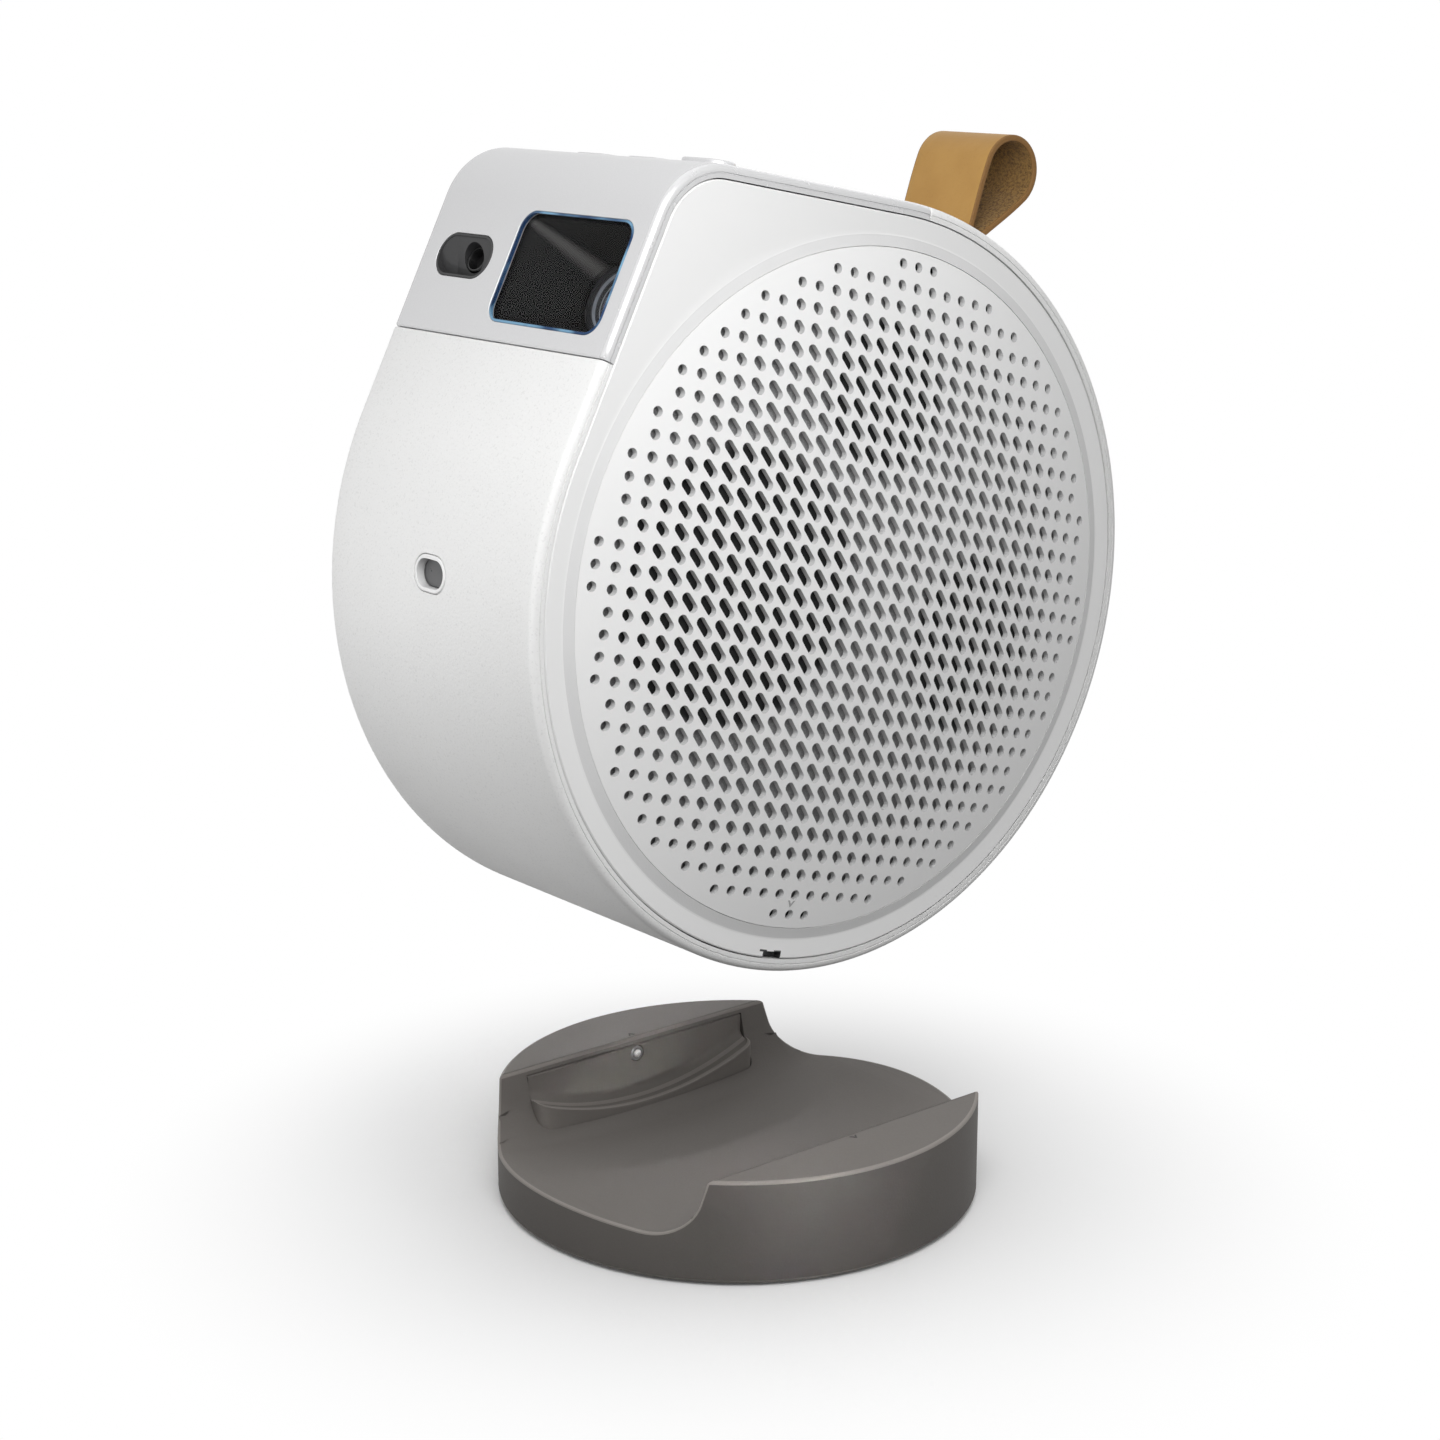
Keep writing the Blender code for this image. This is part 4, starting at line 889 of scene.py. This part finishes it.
# optics in the front facet
windowSizes = Sizes(
    width=0.0419, height=0.0271, corner=0.0045, front=0.0, back=-0.0016, edge=0.00055, bevel=0.0001,
)
shroudSizes = Sizes(
    mouth=(0.0397, 0.0249, 0.0036), front=-0.0019, back=-0.0165, throat=0.0084, wall=0.0012, soft=0.0003,
    rings=9,
)
barrelSizes = Sizes(
    radius=0.0090, front=-0.0168, length=0.0189, pocket=0.0063, seat=-0.0218, edge=0.0003, centre=0.0010,
    ribs=((0.0080, 0.0), (0.0078, 0.0007), (0.0073, 0.0007), (0.0071, 0.0015), (0.0067, 0.0015),
          (0.0064, 0.0021), (0.0063, 0.0023)),
    lips=((0.0087, 0.0090), (0.0071, 0.0074), (0.0063, 0.0065)),
)
lensSizes = Sizes(radius=0.0060, back=-0.0215, edge=-0.0193, dome=0.0014)


def makeWindow():
    sizes = windowSizes
    outline = roundedRect(sizes.width, sizes.height, sizes.corner)
    slim = 2 * sizes.edge
    face = roundedRect(sizes.width - slim, sizes.height - slim, sizes.corner - sizes.edge)
    front = sizes.front
    rings = [flat(outline, sizes.back), flat(outline, front - sizes.bevel), flat(face, front)]
    window = newObject("lensWindow", skinned(rings))
    paint(window, lambda centre, normal: 0 if abs(normal.z) > 0.999 else 1)
    window.data.transform(lensAxis)
    glass = grained("windowGlass", (0.96, 0.97, 0.98), 0.02, 0.004, swing=(0.01, 0.02),
                    Transmission_Weight=1.0, IOR=1.10)
    settle(window, "projector", ["lens_window"], [glass, blueEdge()], 4)


def makeShroud():
    # a funnel with four soft creases; a lighter band painted along one of them, the diagonal streak, is a
    # painted highlight
    sizes = shroudSizes
    width, height, corner = sizes.mouth
    wall = 2 * sizes.wall
    rings = [flat(roundedRect(width + wall, height + wall, corner + sizes.wall), sizes.front)]
    bore = 2 * sizes.throat
    neck = bore + wall
    rings.append(flat(roundedRect(neck, neck, sizes.throat), sizes.back))
    small = sizes.throat - sizes.soft
    rings.append(flat(roundedRect(bore, bore, small), sizes.back))
    low = sizes.back + sizes.wall
    for i in range(sizes.rings + 1):
        share = i / sizes.rings
        outline = roundedRect(bore + (width - bore) * share, bore + (height - bore) * share,
                              small * (1 - share) + corner * share)
        rings.append(flat(outline, low + (sizes.front - low) * share))
    shroud = newObject("lensShroud", skinned(rings, closed=True), lensAxis)
    # painted highlight: a per-point weight that marks the one crease where the shroud is painted lighter
    creaseHighlight = shroud.data.attributes.new("creaseHighlight", "FLOAT", "POINT")
    corner = len(rings[0]) // 4
    for i, spot in enumerate(creaseHighlight.data):
        ring, k = divmod(i, len(rings[0]))
        away = abs(k - corner * 1.5 + 0.5) / 3
        spot.value = max(0.0, 1.0 - away) if ring > 1 else 0.0
    made = Finish("shroudBlack", (0.0022, 0.0022, 0.0024), 0.6, 0.0, Specular_IOR_Level=0.05)
    fine = made.noise(0.0004, 1.0)
    crease = made.node("ShaderNodeAttribute", {"attribute_name": "creaseHighlight"}, {}, "Fac")
    # painted highlight: the shroud is tinted lighter along that crease
    made.tint(made.ramp(crease, 0.0, 1.0), (0.070, 0.067, 0.065))
    made.feed("Roughness", 0.55 + fine * 0.10)
    settle(shroud, "projector", ["lens_shroud"], [made.material], 40)


def makeBarrel():
    sizes = barrelSizes
    front, radius, edge = sizes.front, sizes.radius, sizes.edge
    back = front - sizes.length
    profile = [(sizes.centre, back), (radius, back), (radius, front - edge), (radius - edge, front)]
    profile += [(step, front - drop) for step, drop in sizes.ribs]
    profile += [(sizes.pocket, sizes.seat), (sizes.centre, sizes.seat)]
    barrel = newObject("lensBarrel", turnedSolid(profile, 72))
    # painted highlight: thin rings of the barrel get a lighter grey, for the bright arcs on its ridges
    lips = sizes.lips
    paint(barrel, lambda centre, normal: 1 if any(low < centre.xy.length < high for low, high in lips) else 0)
    barrel.data.transform(lensAxis)
    black = grained("ringedBarrel", (0.018, 0.018, 0.020), 0.34, 0.0006, swing=(0.28, 0.16),
                    bump=(0.00004, 0.3))
    lipHighlight = mouldedPlastic("barrelLipHighlight", (0.30, 0.32, 0.35), 0.30, 0.002, 0.00001)
    settle(barrel, "projector", ["lens_barrel"], [black, lipHighlight], 25)


def cap(radius, base, dome, count):
    # the rounded end of a turned piece, between its rim and its pole
    return [(radius * cos(turn), base + dome * sin(turn)) for turn in quarter(count)[1:-1]]


def makeLens():
    sizes = lensSizes
    radius, edge = sizes.radius, sizes.edge
    profile = [(radius, sizes.back), (radius, edge)] + cap(radius, edge, sizes.dome, 9)
    lens = newObject("projectionLens", turnedSolid(profile, 72), lensAxis)
    settle(lens, "projector", ["projection_lens"], [coatedLens()], 40)


makeWindow()
makeShroud()
makeBarrel()
makeLens()
print("optics done")

# focus sensor: a pill with a folded floor and a round eye
sensorSizes = Sizes(
    length=0.0214, width=0.0107, wall=0.0006, depth=0.0070, floor=0.0023, slope=0.389, fold=0.393,
    edge=0.0002, brink=-0.0003, eye=(0.0012, 0.0004, 0.0), eyeRadius=0.0031, eyeStretch=1.15,
    eyeBack=-0.0061, eyeRim=-0.0029,
    eyeSteps=((0.0, 0.0002), (0.0002, 0.0), (0.0005, 0.0), (0.0006, 0.0003), (0.0007, 0.0024),
              (0.0019, 0.0026), (0.0027, 0.0024)),
)


def makeSensor():
    sizes = sensorSizes
    length, width, wall, edge = sizes.length, sizes.width, sizes.wall, sizes.edge
    inner = stadium(length - 2 * wall, width - 2 * wall)
    crease = -(length - width) / 2

    def floorAt(x, y):
        right = sizes.slope * y - sizes.floor
        left = right - sizes.fold * (x - crease)
        return min(sizes.brink, left if x < crease else right)

    rings = [pill(length, width, -sizes.depth), pill(length, width, -edge),
             pill(length, width, 0, 2 * edge), flat(inner, -edge / 2),
             [(x, y, floorAt(x, y)) for x, y in inner]]
    mesh = skinned(rings, ends=False)
    mesh.verts.ensure_lookup_table()
    count = len(inner)
    half = count // 2
    floor = mesh.verts[4 * count:]
    mesh.faces.new(mesh.verts[:count])
    mesh.faces.new(floor[:half + 1] + floor[-1:])  # the floor folds between the pill's two ends
    mesh.faces.new(floor[half:])
    bmesh.ops.recalc_face_normals(mesh, faces=mesh.faces)
    housing = newObject("sensorHousing", mesh, sensorAxis)
    eye = sensorAxis @ Matrix.Translation(sizes.eye) @ Matrix.Diagonal((sizes.eyeStretch, 1, 1, 1))
    radius, rim = sizes.eyeRadius, sizes.eyeRim
    cutOut(housing, [(prism(circle(radius + drum.gap, 48), wall - sizes.depth, 10 * edge), eye)])
    black = mouldedPlastic("sensorBlack", (0.026, 0.026, 0.027), 0.55, 0.0004, 0.00005)
    settle(housing, "projector", ["sensor_housing"], [black], 12)
    profile = [(radius, sizes.eyeBack)]
    profile += [(radius - inset, rim - drop) for inset, drop in sizes.eyeSteps]
    eyePiece = newObject("sensorEye", turnedSolid(profile, 48), eye)
    dark = mouldedPlastic("sensorEyeBlack", (0.004, 0.004, 0.0042), 0.45, 0.001, 0.00001)
    settle(eyePiece, "projector", ["sensor_lens"], [dark], 25)


makeSensor()
print("focus sensor done")

receiverSizes = Sizes(
    outer=(0.0124, 0.0086), inner=(0.0106, 0.0065), depth=0.0050, floor=-0.0043, sink=-0.0020,
    edge=0.0005, step=0.0003, soft=0.0001, fit=0.0002, bevel=0.0004,
)


def makeReceiver():
    sizes = receiverSizes
    outer, inner, step, soft = sizes.outer, sizes.inner, sizes.step, sizes.soft
    rings = [
        pill(*outer, -sizes.depth), pill(*outer, -step), pill(*outer, 0.0, sizes.edge),
        pill(*inner, 0.0, -2 * soft), pill(*inner, -soft, -soft), pill(*inner, -step),
        pill(*inner, sizes.floor),
    ]
    bezel = newObject("receiverBezel", skinned(rings))
    # painted shade: the bezel's inner walls take a grey finish for the shade inside the pocket
    paint(bezel, lambda centre, normal: 1 if centre.z < -2 * soft and centre.dot(normal) < 0 else 0)
    bezel.data.transform(receiverPlace)
    wall = mouldedPlastic("receiverWallShade", (0.66, 0.66, 0.66), 0.5)
    settle(bezel, "projector", ["ir_bezel"], [finishes["smooth_white"], wall], 40)
    fit, sink = sizes.fit, sizes.sink
    rings = [
        pill(*inner, sizes.floor + drum.gap, fit), pill(*inner, sink - step, fit),
        pill(*inner, sink, fit + sizes.bevel),
    ]
    window = newObject("receiverWindow", skinned(rings), receiverPlace)
    settle(window, "projector", ["ir_window"], [finishes["dark_glass"]], 40)


makeReceiver()

keySizes = Sizes(
    length=0.0150, width=0.0080, root=-0.0028, edge=0.0006, dish=0.0003, count=12,
    rises=Sizes(left=0.0011, middle=0.0011, right=0.0018),
)


def makeKey(word, column):
    sizes = keySizes
    length, width, edge, count = sizes.length, sizes.width, sizes.edge, sizes.count
    rise = sizes.rises[word]
    rings = [pill(length, width, sizes.root, 0.0, count)]
    for turn in quarter(5):
        height = rise - edge * (1 - sin(turn))
        rings.append(pill(length, width, height, 2 * edge * (1 - cos(turn)), count))
    for share in (0.25, 0.55, 0.85):
        slim = width - (width - 2 * edge) * (1 - share)
        rings.append(pill(length, width, rise - sizes.dish * share, slim, count))
    key = newObject("key" + word.capitalize(), skinned(rings), keyPlace(column))
    settle(key, word + "_key", ["key_" + word], [finishes["satin_silver"]], 50)


for column, word in enumerate(keySizes.rises, -1):
    makeKey(word, column)
print("receiver and keys done")

# carrying loop: one strip of leather with rounded edges, smooth outside and rough inside
loopSizes = Sizes(
    width=0.0260, thickness=0.0016, leg=0.0010, root=-0.0080, neck=0.0055, bulb=0.00845, height=0.03015,
    edge=0.0004, arcStart=196, arcStep=5, pull=0.42, ease=0.55, pieces=14, columns=12,
)


def loopPath():
    sizes = loopSizes
    bulb, height, leg = sizes.bulb, sizes.height, sizes.leg
    start = radians(sizes.arcStart)
    turns = steps(start, pi / 2, radians(sizes.arcStep))
    arc = [(bulb * cos(turn), height + bulb * sin(turn)) for turn in turns]
    neck = Vector((-leg, sizes.neck))
    joint = Vector(arc[0])
    pull = (joint - neck).length * sizes.pull
    first = neck + Vector((0, pull * sizes.ease))
    second = joint + Vector((-sin(start), cos(start))) * pull
    left = [(-leg, sizes.root), (-leg, 0.0)]
    for i in range(sizes.pieces):
        t = i / sizes.pieces
        spot = neck * (1 - t) ** 3 + first * 3 * t * (1 - t) ** 2
        left.append(tuple(spot + second * 3 * t * t * (1 - t) + joint * t ** 3))
    left += arc
    return left + [(-y, z) for y, z in reversed(left[:-1])]


def makeLoop():
    sizes = loopSizes
    edge, columns = sizes.edge, sizes.columns
    wide = sizes.width / 2
    thick = sizes.thickness / 2
    section = []
    for side, level in ((1, 1), (-1, 1), (-1, -1), (1, -1)):
        corner = []
        for turn in quarter(4):
            x = wide - edge * (1 - cos(turn))
            corner.append((side * x, level * (thick - edge * (1 - sin(turn)))))
        if side * level > 0:
            inner = side * (wide - edge)
            corner += [(inner * (1 - 2 * k / columns), level * thick) for k in range(1, columns)]
        else:
            corner.reverse()
        section += corner
    path = [Vector(spot) for spot in loopPath()]
    rings = []
    for i, spot in enumerate(path):
        way = (path[min(i + 1, len(path) - 1)] - path[max(i - 1, 0)]).normalized()
        across = Vector((-way.y, way.x))
        rings.append([(x, *(spot + across * out)) for x, out in section])
    loop = newObject("carryLoop", skinned(rings))
    brink = wide - edge * 0.9
    end = sizes.root + edge / 4

    def rule(centre, normal):
        # the cut edges, then the outer and the inner skin
        if abs(centre.x) > brink or centre.z < end:
            return 2
        away = Vector((0, centre.y, max(0.0, centre.z - sizes.height)))
        return 0 if normal.dot(away) > 0 else 1

    paint(loop, rule)
    loop.data.transform(loopPlace)
    leathers = [finishes["tan_leather"], suedeLeather(), leatherEdge()]
    settle(loop, "projector", ["carry_loop"], leathers, 60)


makeLoop()
print("carrying loop done")

# dock
dockSizes = Sizes(
    radius=0.0625, edge=0.0010, crest=0.0272, crestX=0.0430, wallAngle=77.0, fillet=0.0130, filletStep=6,
    floorLow=0.0075, floorRim=0.0140, slice=0.004, bottom=0.0005, cavity=0.0580, ledge=0.0031,
    well=0.0483, roof=0.0050, lining=1.6, edgeLevel=2.6,
    # painted highlight: the bevel's faces take the third finish, a much lighter grey along the edges
    bevel=Sizes(width=0.0008, segments=3, angle=28, material=2),
)
# level is the cradle's painted light: how much lighter than the dock grey it is painted
cradleSizes = Sizes(
    face=0.0425, rear=0.0465, reach=0.0064, half=0.0365, top=0.0252, base=0.0066, seatHeight=0.1046,
    seatRadius=0.0931, corner=0.0030, soft=0.0005, ledge=0.0009, step=0.0003, slant=0.0002, spare=0.0004,
    cove=0.0034, slice=0.0025, onLedge=0.00018, level=1.75,
)
contactSizes = Sizes(
    height=0.0226, radius=0.0012, tail=-0.0041, brim=-0.0001, dome=0.0007, bore=0.0023, boreBack=-0.0099,
    boreFront=0.0064,
    sleeve=((0.0020, -0.0096), (0.0020, -0.0002), (0.0018, 0.0), (0.0016, 0.0), (0.0015, -0.0002),
            (0.0015, -0.0091)),
)
contactSpot = Matrix.Translation((-cradleSizes.face, 0, contactSizes.height))
contactPlace = contactSpot @ Matrix.Rotation(pi / 2, 4, "Y")


def channelSection(y):
    sizes = dockSizes
    lean = radians(sizes.wallAngle)
    fillet, crest, crestX = sizes.fillet, sizes.crest, sizes.crestX
    low = sizes.floorLow
    middle = low + (sizes.floorRim - low) * (y / sizes.radius) ** 2 + fillet
    centre = crestX - (fillet - cos(lean) * (middle - crest)) / sin(lean)
    turns = steps(-pi / 2, lean - pi / 2, radians(sizes.filletStep))
    points = [(centre + fillet * cos(turn), middle + fillet * sin(turn)) for turn in turns]
    return points + [(crestX, crest), (crestX, crest + fillet)]


def pocketOutline(side, grow):
    # square at the back, rounded at the front corners of the lip
    sizes = cradleSizes
    half = sizes.half + grow
    corner = sizes.corner + grow
    front = sizes.face - sizes.reach - grow + corner
    rear = sizes.rear + grow
    points = [(rear, -half), (rear, half)]
    for start, level in ((1, half - corner), (2, corner - half)):
        for i in range(7):
            turn = pi / 2 * (start + i / 6)
            points.append((front + corner * cos(turn), level + corner * sin(turn)))
    return [(side * x, y) for x, y in points]


def contactBore():
    sizes = contactSizes
    return prism(circle(sizes.bore, 32), sizes.boreBack, sizes.boreFront), contactPlace


def makeDock():
    sizes, cradle, gap = dockSizes, cradleSizes, drum.gap
    radius, edge, bottom, ledge = sizes.radius, sizes.edge, sizes.bottom, sizes.ledge
    profile = [(radius - edge, bottom), (radius - edge * 0.3, bottom + edge * 0.3),
               (radius, bottom + edge), (radius, sizes.crest)]
    dock = newObject("dockShell", turnedSolid(profile, 160))
    reach = radius + sizes.fillet
    rings = []
    for y in steps(-reach, reach, sizes.slice):
        half = channelSection(y)
        rings.append([(x, y, z) for x, z in half + [(-x, z) for x, z in reversed(half)]])
    # painted light: lighter copies of the dock grey for the lit tops and for highlights on the edges
    greysWithPaintedLight = [finishes["dock_grey"], dockGrey("dockLitTop", sizes.lining),
             dockGrey("dockEdgeHighlight", sizes.edgeLevel)]
    dress(dock, greysWithPaintedLight)
    cutOut(dock, [(skinned(rings), Matrix.Identity(4))], sizes.bevel)
    cavity = circle(sizes.cavity, 96)
    well = circle(sizes.well, 96)
    bores = [skinned([flat(cavity, -10 * edge), flat(cavity, ledge), flat(well, ledge),
                      flat(well, sizes.roof)])]
    for word, side in sides:
        bores.append(prism(pocketOutline(side, gap), cradle.base - gap, cradle.top + gap))
    cutOut(dock, [(bore, Matrix.Identity(4)) for bore in bores])
    cutOut(dock, [contactBore()])  # meets a pocket, so it is a cut of its own
    knit(dock, radius, 2 * reach / (len(rings) - 1))
    # painted light: upward faces above the roof get the lighter copy of the dock grey, as if lit from above
    for face in dock.data.polygons:
        if face.material_index == 0 and face.normal.z > 0.05 and face.center.z > sizes.roof:
            face.material_index = 1
    settle(dock, "dock", ["dock_shell"], greysWithPaintedLight, 30)


def seatLip(y):
    return cradleSizes.seatHeight - sqrt(cradleSizes.seatRadius ** 2 - y * y)


def makeCradle(word, side):
    # an insert with a rounded lip under the drum's rim, a cove and a flat back
    sizes = cradleSizes
    face, rear, base, high = sizes.face, sizes.rear, sizes.base, sizes.top
    corner, soft, step = sizes.corner, sizes.soft, sizes.step
    front = face - sizes.reach + corner
    ends = [sizes.half - corner * (1 - sin(turn)) for turn in quarter(6)]
    spots = [-end for end in reversed(ends)] + steps(-ends[0], ends[0], sizes.slice)[1:-1] + ends
    rings = []
    for y in spots:
        lip = seatLip(y)
        over = max(0.0, abs(y) - (sizes.half - corner))
        nose = front - sqrt(max(0.0, corner ** 2 - over ** 2))
        inside = nose + soft + sizes.ledge
        cove = min(sizes.cove, face - inside - sizes.spare)
        section = [(rear, base), (nose, base), (nose, lip - soft)]
        for turn in quarter(4)[1:]:
            section.append((nose + soft * (1 - cos(turn)), lip - soft * (1 - sin(turn))))
        section += [(inside, lip), (inside + sizes.slant, lip - step)]
        for turn in quarter(8):
            section.append((face - cove * (1 - sin(turn)), lip - step + cove * (1 - cos(turn))))
        section += [(face, high - step), (face + step, high), (rear, high)]
        rings.append([(side * x, y, z) for x, z in section])
    name = word + "Cradle"
    cradle = newObject(name, skinned(rings))
    if side < 0:
        cutOut(cradle, [contactBore()])

    # painted highlight: the flat top of the lip
    def onLedge(centre, normal):
        return 1 if normal.z > 0.5 and abs(centre.z - seatLip(centre.y)) < sizes.onLedge else 0

    paint(cradle, onLedge)
    # painted light: the cradle takes a lighter copy of the dock grey, and its ledge a still lighter one as a
    # painted highlight
    greysWithPaintedLight = [dockGrey(name + "Grey", sizes.level), dockGrey(name + "Ledge", dockSizes.edgeLevel)]
    settle(cradle, "dock", [word + "_cradle"], greysWithPaintedLight, 24)


def makeContact():
    sizes = contactSizes
    radius = sizes.radius
    profile = [(radius, sizes.tail), (radius, sizes.brim)] + cap(radius, 0.0, sizes.dome, 8)
    pin = newObject("contactPin", turnedSolid(profile, 32), contactPlace)
    settle(pin, "contact", ["contact_pin"], [satinSilver("contactSilver", 0.92, 0.20)], 50)
    sleeve = newObject("plungerSleeve", turnedSolid(sizes.sleeve, 32), contactPlace)
    settle(sleeve, "dock", ["plunger_sleeve"], [finishes["steel"]], 30)


markSizes = Sizes(
    reach=0.0011, drop=0.0014, line=0.0005, rise=0.00008, level=0.45, dockX=0.0461,
    grilleSpot=(-0.00175, -0.0757),
)


def makeMark(name, body, place, material):
    # a small raised index arrow
    sizes = markSizes
    reach, drop, line, rise = sizes.reach, sizes.drop, sizes.line, sizes.rise
    outline = [(-reach, drop), (-reach + line, drop), (0, line), (reach - line, drop), (reach, drop),
               (0, -line * 0.6)]
    settle(newObject(name, prism(outline, -rise, rise), place), body, [], [material])


def makeMarks():
    ink = dockGrey("markGrey", markSizes.level)
    for word, side in reversed(sides):
        spot = Matrix.Translation((side * markSizes.dockX, 0.0, dockSizes.crest))
        turned = Matrix.Rotation(side * pi / 2, 4, "Z")
        makeMark(word + "Mark", "dock", spot @ turned, ink)
    down = Vector(markSizes.grilleSpot)
    lean = atan(2 * grilleSizes.dome * down.length / grilleSizes.radius ** 2)
    for word, side in sides:
        spot = Matrix.Translation((side * grilleFace(down.length), down.x, down.y))
        turned = Matrix.Rotation(side * pi / 2, 4, "Z") @ Matrix.Rotation(pi / 2 + lean, 4, "X")
        place = drumPlace @ spot @ turned
        makeMark(word + "GrilleMark", "projector", place, finishes["grey_plastic"])


makeDock()
makeMarks()
for word, side in sides:
    makeCradle(word, side)
makeContact()
print("dock done")

# CAD nodes that stay as they are get the finish of their slot
slotOf = {sub["node"]: sub["material_slot"] for sub in record["subparts"]}
for name, node in frame["nodes"].items():
    dress(node, [finishes[slotOf[name]]])
print("CAD nodes dressed:", len(slotOf))

# floor, world, lamps and camera
stageSizes = Sizes(floor=2.4, low=-0.0012, high=-0.0002, near=0.05, far=0.17, level=0.95, bounce=0.14)


def looking(graph):
    # 1 for rays that see the white: the camera's, and those off metal and through glass
    path = graph.tree.nodes.new("ShaderNodeLightPath")
    kinds = ("Is Camera Ray", "Is Glossy Ray", "Is Transmission Ray")
    camera, glossy, through = [Wire(graph, path.outputs[kind]) for kind in kinds]
    return camera.join("MAXIMUM", camera.join("MAXIMUM", camera, glossy), through)


def makeFloor():
    # pale to the camera and white farther out; what the object gets back from it is dimmer
    sizes = stageSizes
    floor = newObject("floor", prism(circle(sizes.floor, 96), sizes.low, sizes.high))
    made = Finish("paleFloor", (sizes.level,) * 3, 0.8)
    away = made.measure("LENGTH", made.place)
    far = made.ramp(away, sizes.near, sizes.far)
    seen = looking(made)
    white = made.node("ShaderNodeEmission", {}, {"Color": (1, 1, 1, 1), "Strength": 1.0})
    dim = made.node("ShaderNodeBsdfDiffuse", {}, {"Color": (*(sizes.bounce,) * 3, 1.0)})
    shown = made.node("ShaderNodeMixShader", {}, {0: far, 1: Wire(made, made.shader.outputs[0]), 2: white})
    mixed = made.node("ShaderNodeMixShader", {}, {0: seen, 1: dim, 2: shown})
    made.tree.links.new(mixed.socket, made.tree.nodes["Material Output"].inputs["Surface"])
    floor.data.materials.append(made.material)


worldSizes = Sizes(ambient=0.50, backdrop=1.0)


def makeWorld():
    world = bpy.data.worlds.new("studio")
    world.use_nodes = True
    bpy.context.scene.world = world
    graph = Graph(world.node_tree)
    seen = looking(graph)
    level = worldSizes.ambient + seen * (worldSizes.backdrop - worldSizes.ambient)
    background = world.node_tree.nodes["Background"]
    background.inputs["Color"].default_value = (1, 1, 1, 1)
    world.node_tree.links.new(level.socket, background.inputs["Strength"])


# place, aim, size, power and spread
lampSizes = {
    "key": ((0.24, -0.34, 0.62), (0.02, 0, 0.16), 0.30, 0.26, 180),
    "near": ((0.26, -0.17, 0.37), (0.04, -0.02, 0.17), 0.24, 0.84, 180),
    "front": ((-0.42, -0.85, 0.04), (0, -0.06, 0.150), 0.12, 0.038, 17),
    "top": ((-0.10, 0.10, 1.10), (0, 0, 0.10), 0.80, 0.60, 180),
    "low": ((0.60, -0.15, 0.100), (-0.04, 0, 0.012), 0.04, 0.0024, 5),
    "side": ((-0.70, 0.10, 0.36), (-0.05, 0, 0.02), 0.06, 0.0045, 8),
    "back": ((-0.40, 1.00, 0.60), (0, 0, 0.14), 0.80, 1.0, 180),
}


def makeLamps():
    for name, (place, aim, size, power, spread) in lampSizes.items():
        light = bpy.data.lights.new(name, "AREA")
        light.shape = "DISK"
        light.size = size
        light.energy = power
        light.spread = radians(spread)
        lamp = linked(name, light)
        lamp.location = place
        lamp.rotation_euler = (Vector(aim) - Vector(place)).to_track_quat("-Z", "Y").to_euler()
        lamp.visible_camera = False


cameraSizes = Sizes(
    place=(0.521435, -0.435198, 0.302839), down=14.683, turn=50.532, lens=69.84, sensor=36.0, clip=0.01,
)


def makeCamera():
    sizes = cameraSizes
    data = bpy.data.cameras.new("photoView")
    data.lens = sizes.lens
    data.sensor_width = sizes.sensor
    data.clip_start = sizes.clip
    camera = linked("photoView", data)
    camera.location = sizes.place
    camera.rotation_euler = (radians(90 - sizes.down), 0, radians(sizes.turn))
    bpy.context.scene.camera = camera


makeFloor()
makeWorld()
makeLamps()
makeCamera()
bpy.context.scene.view_settings.view_transform = "Standard"
print("stage done")
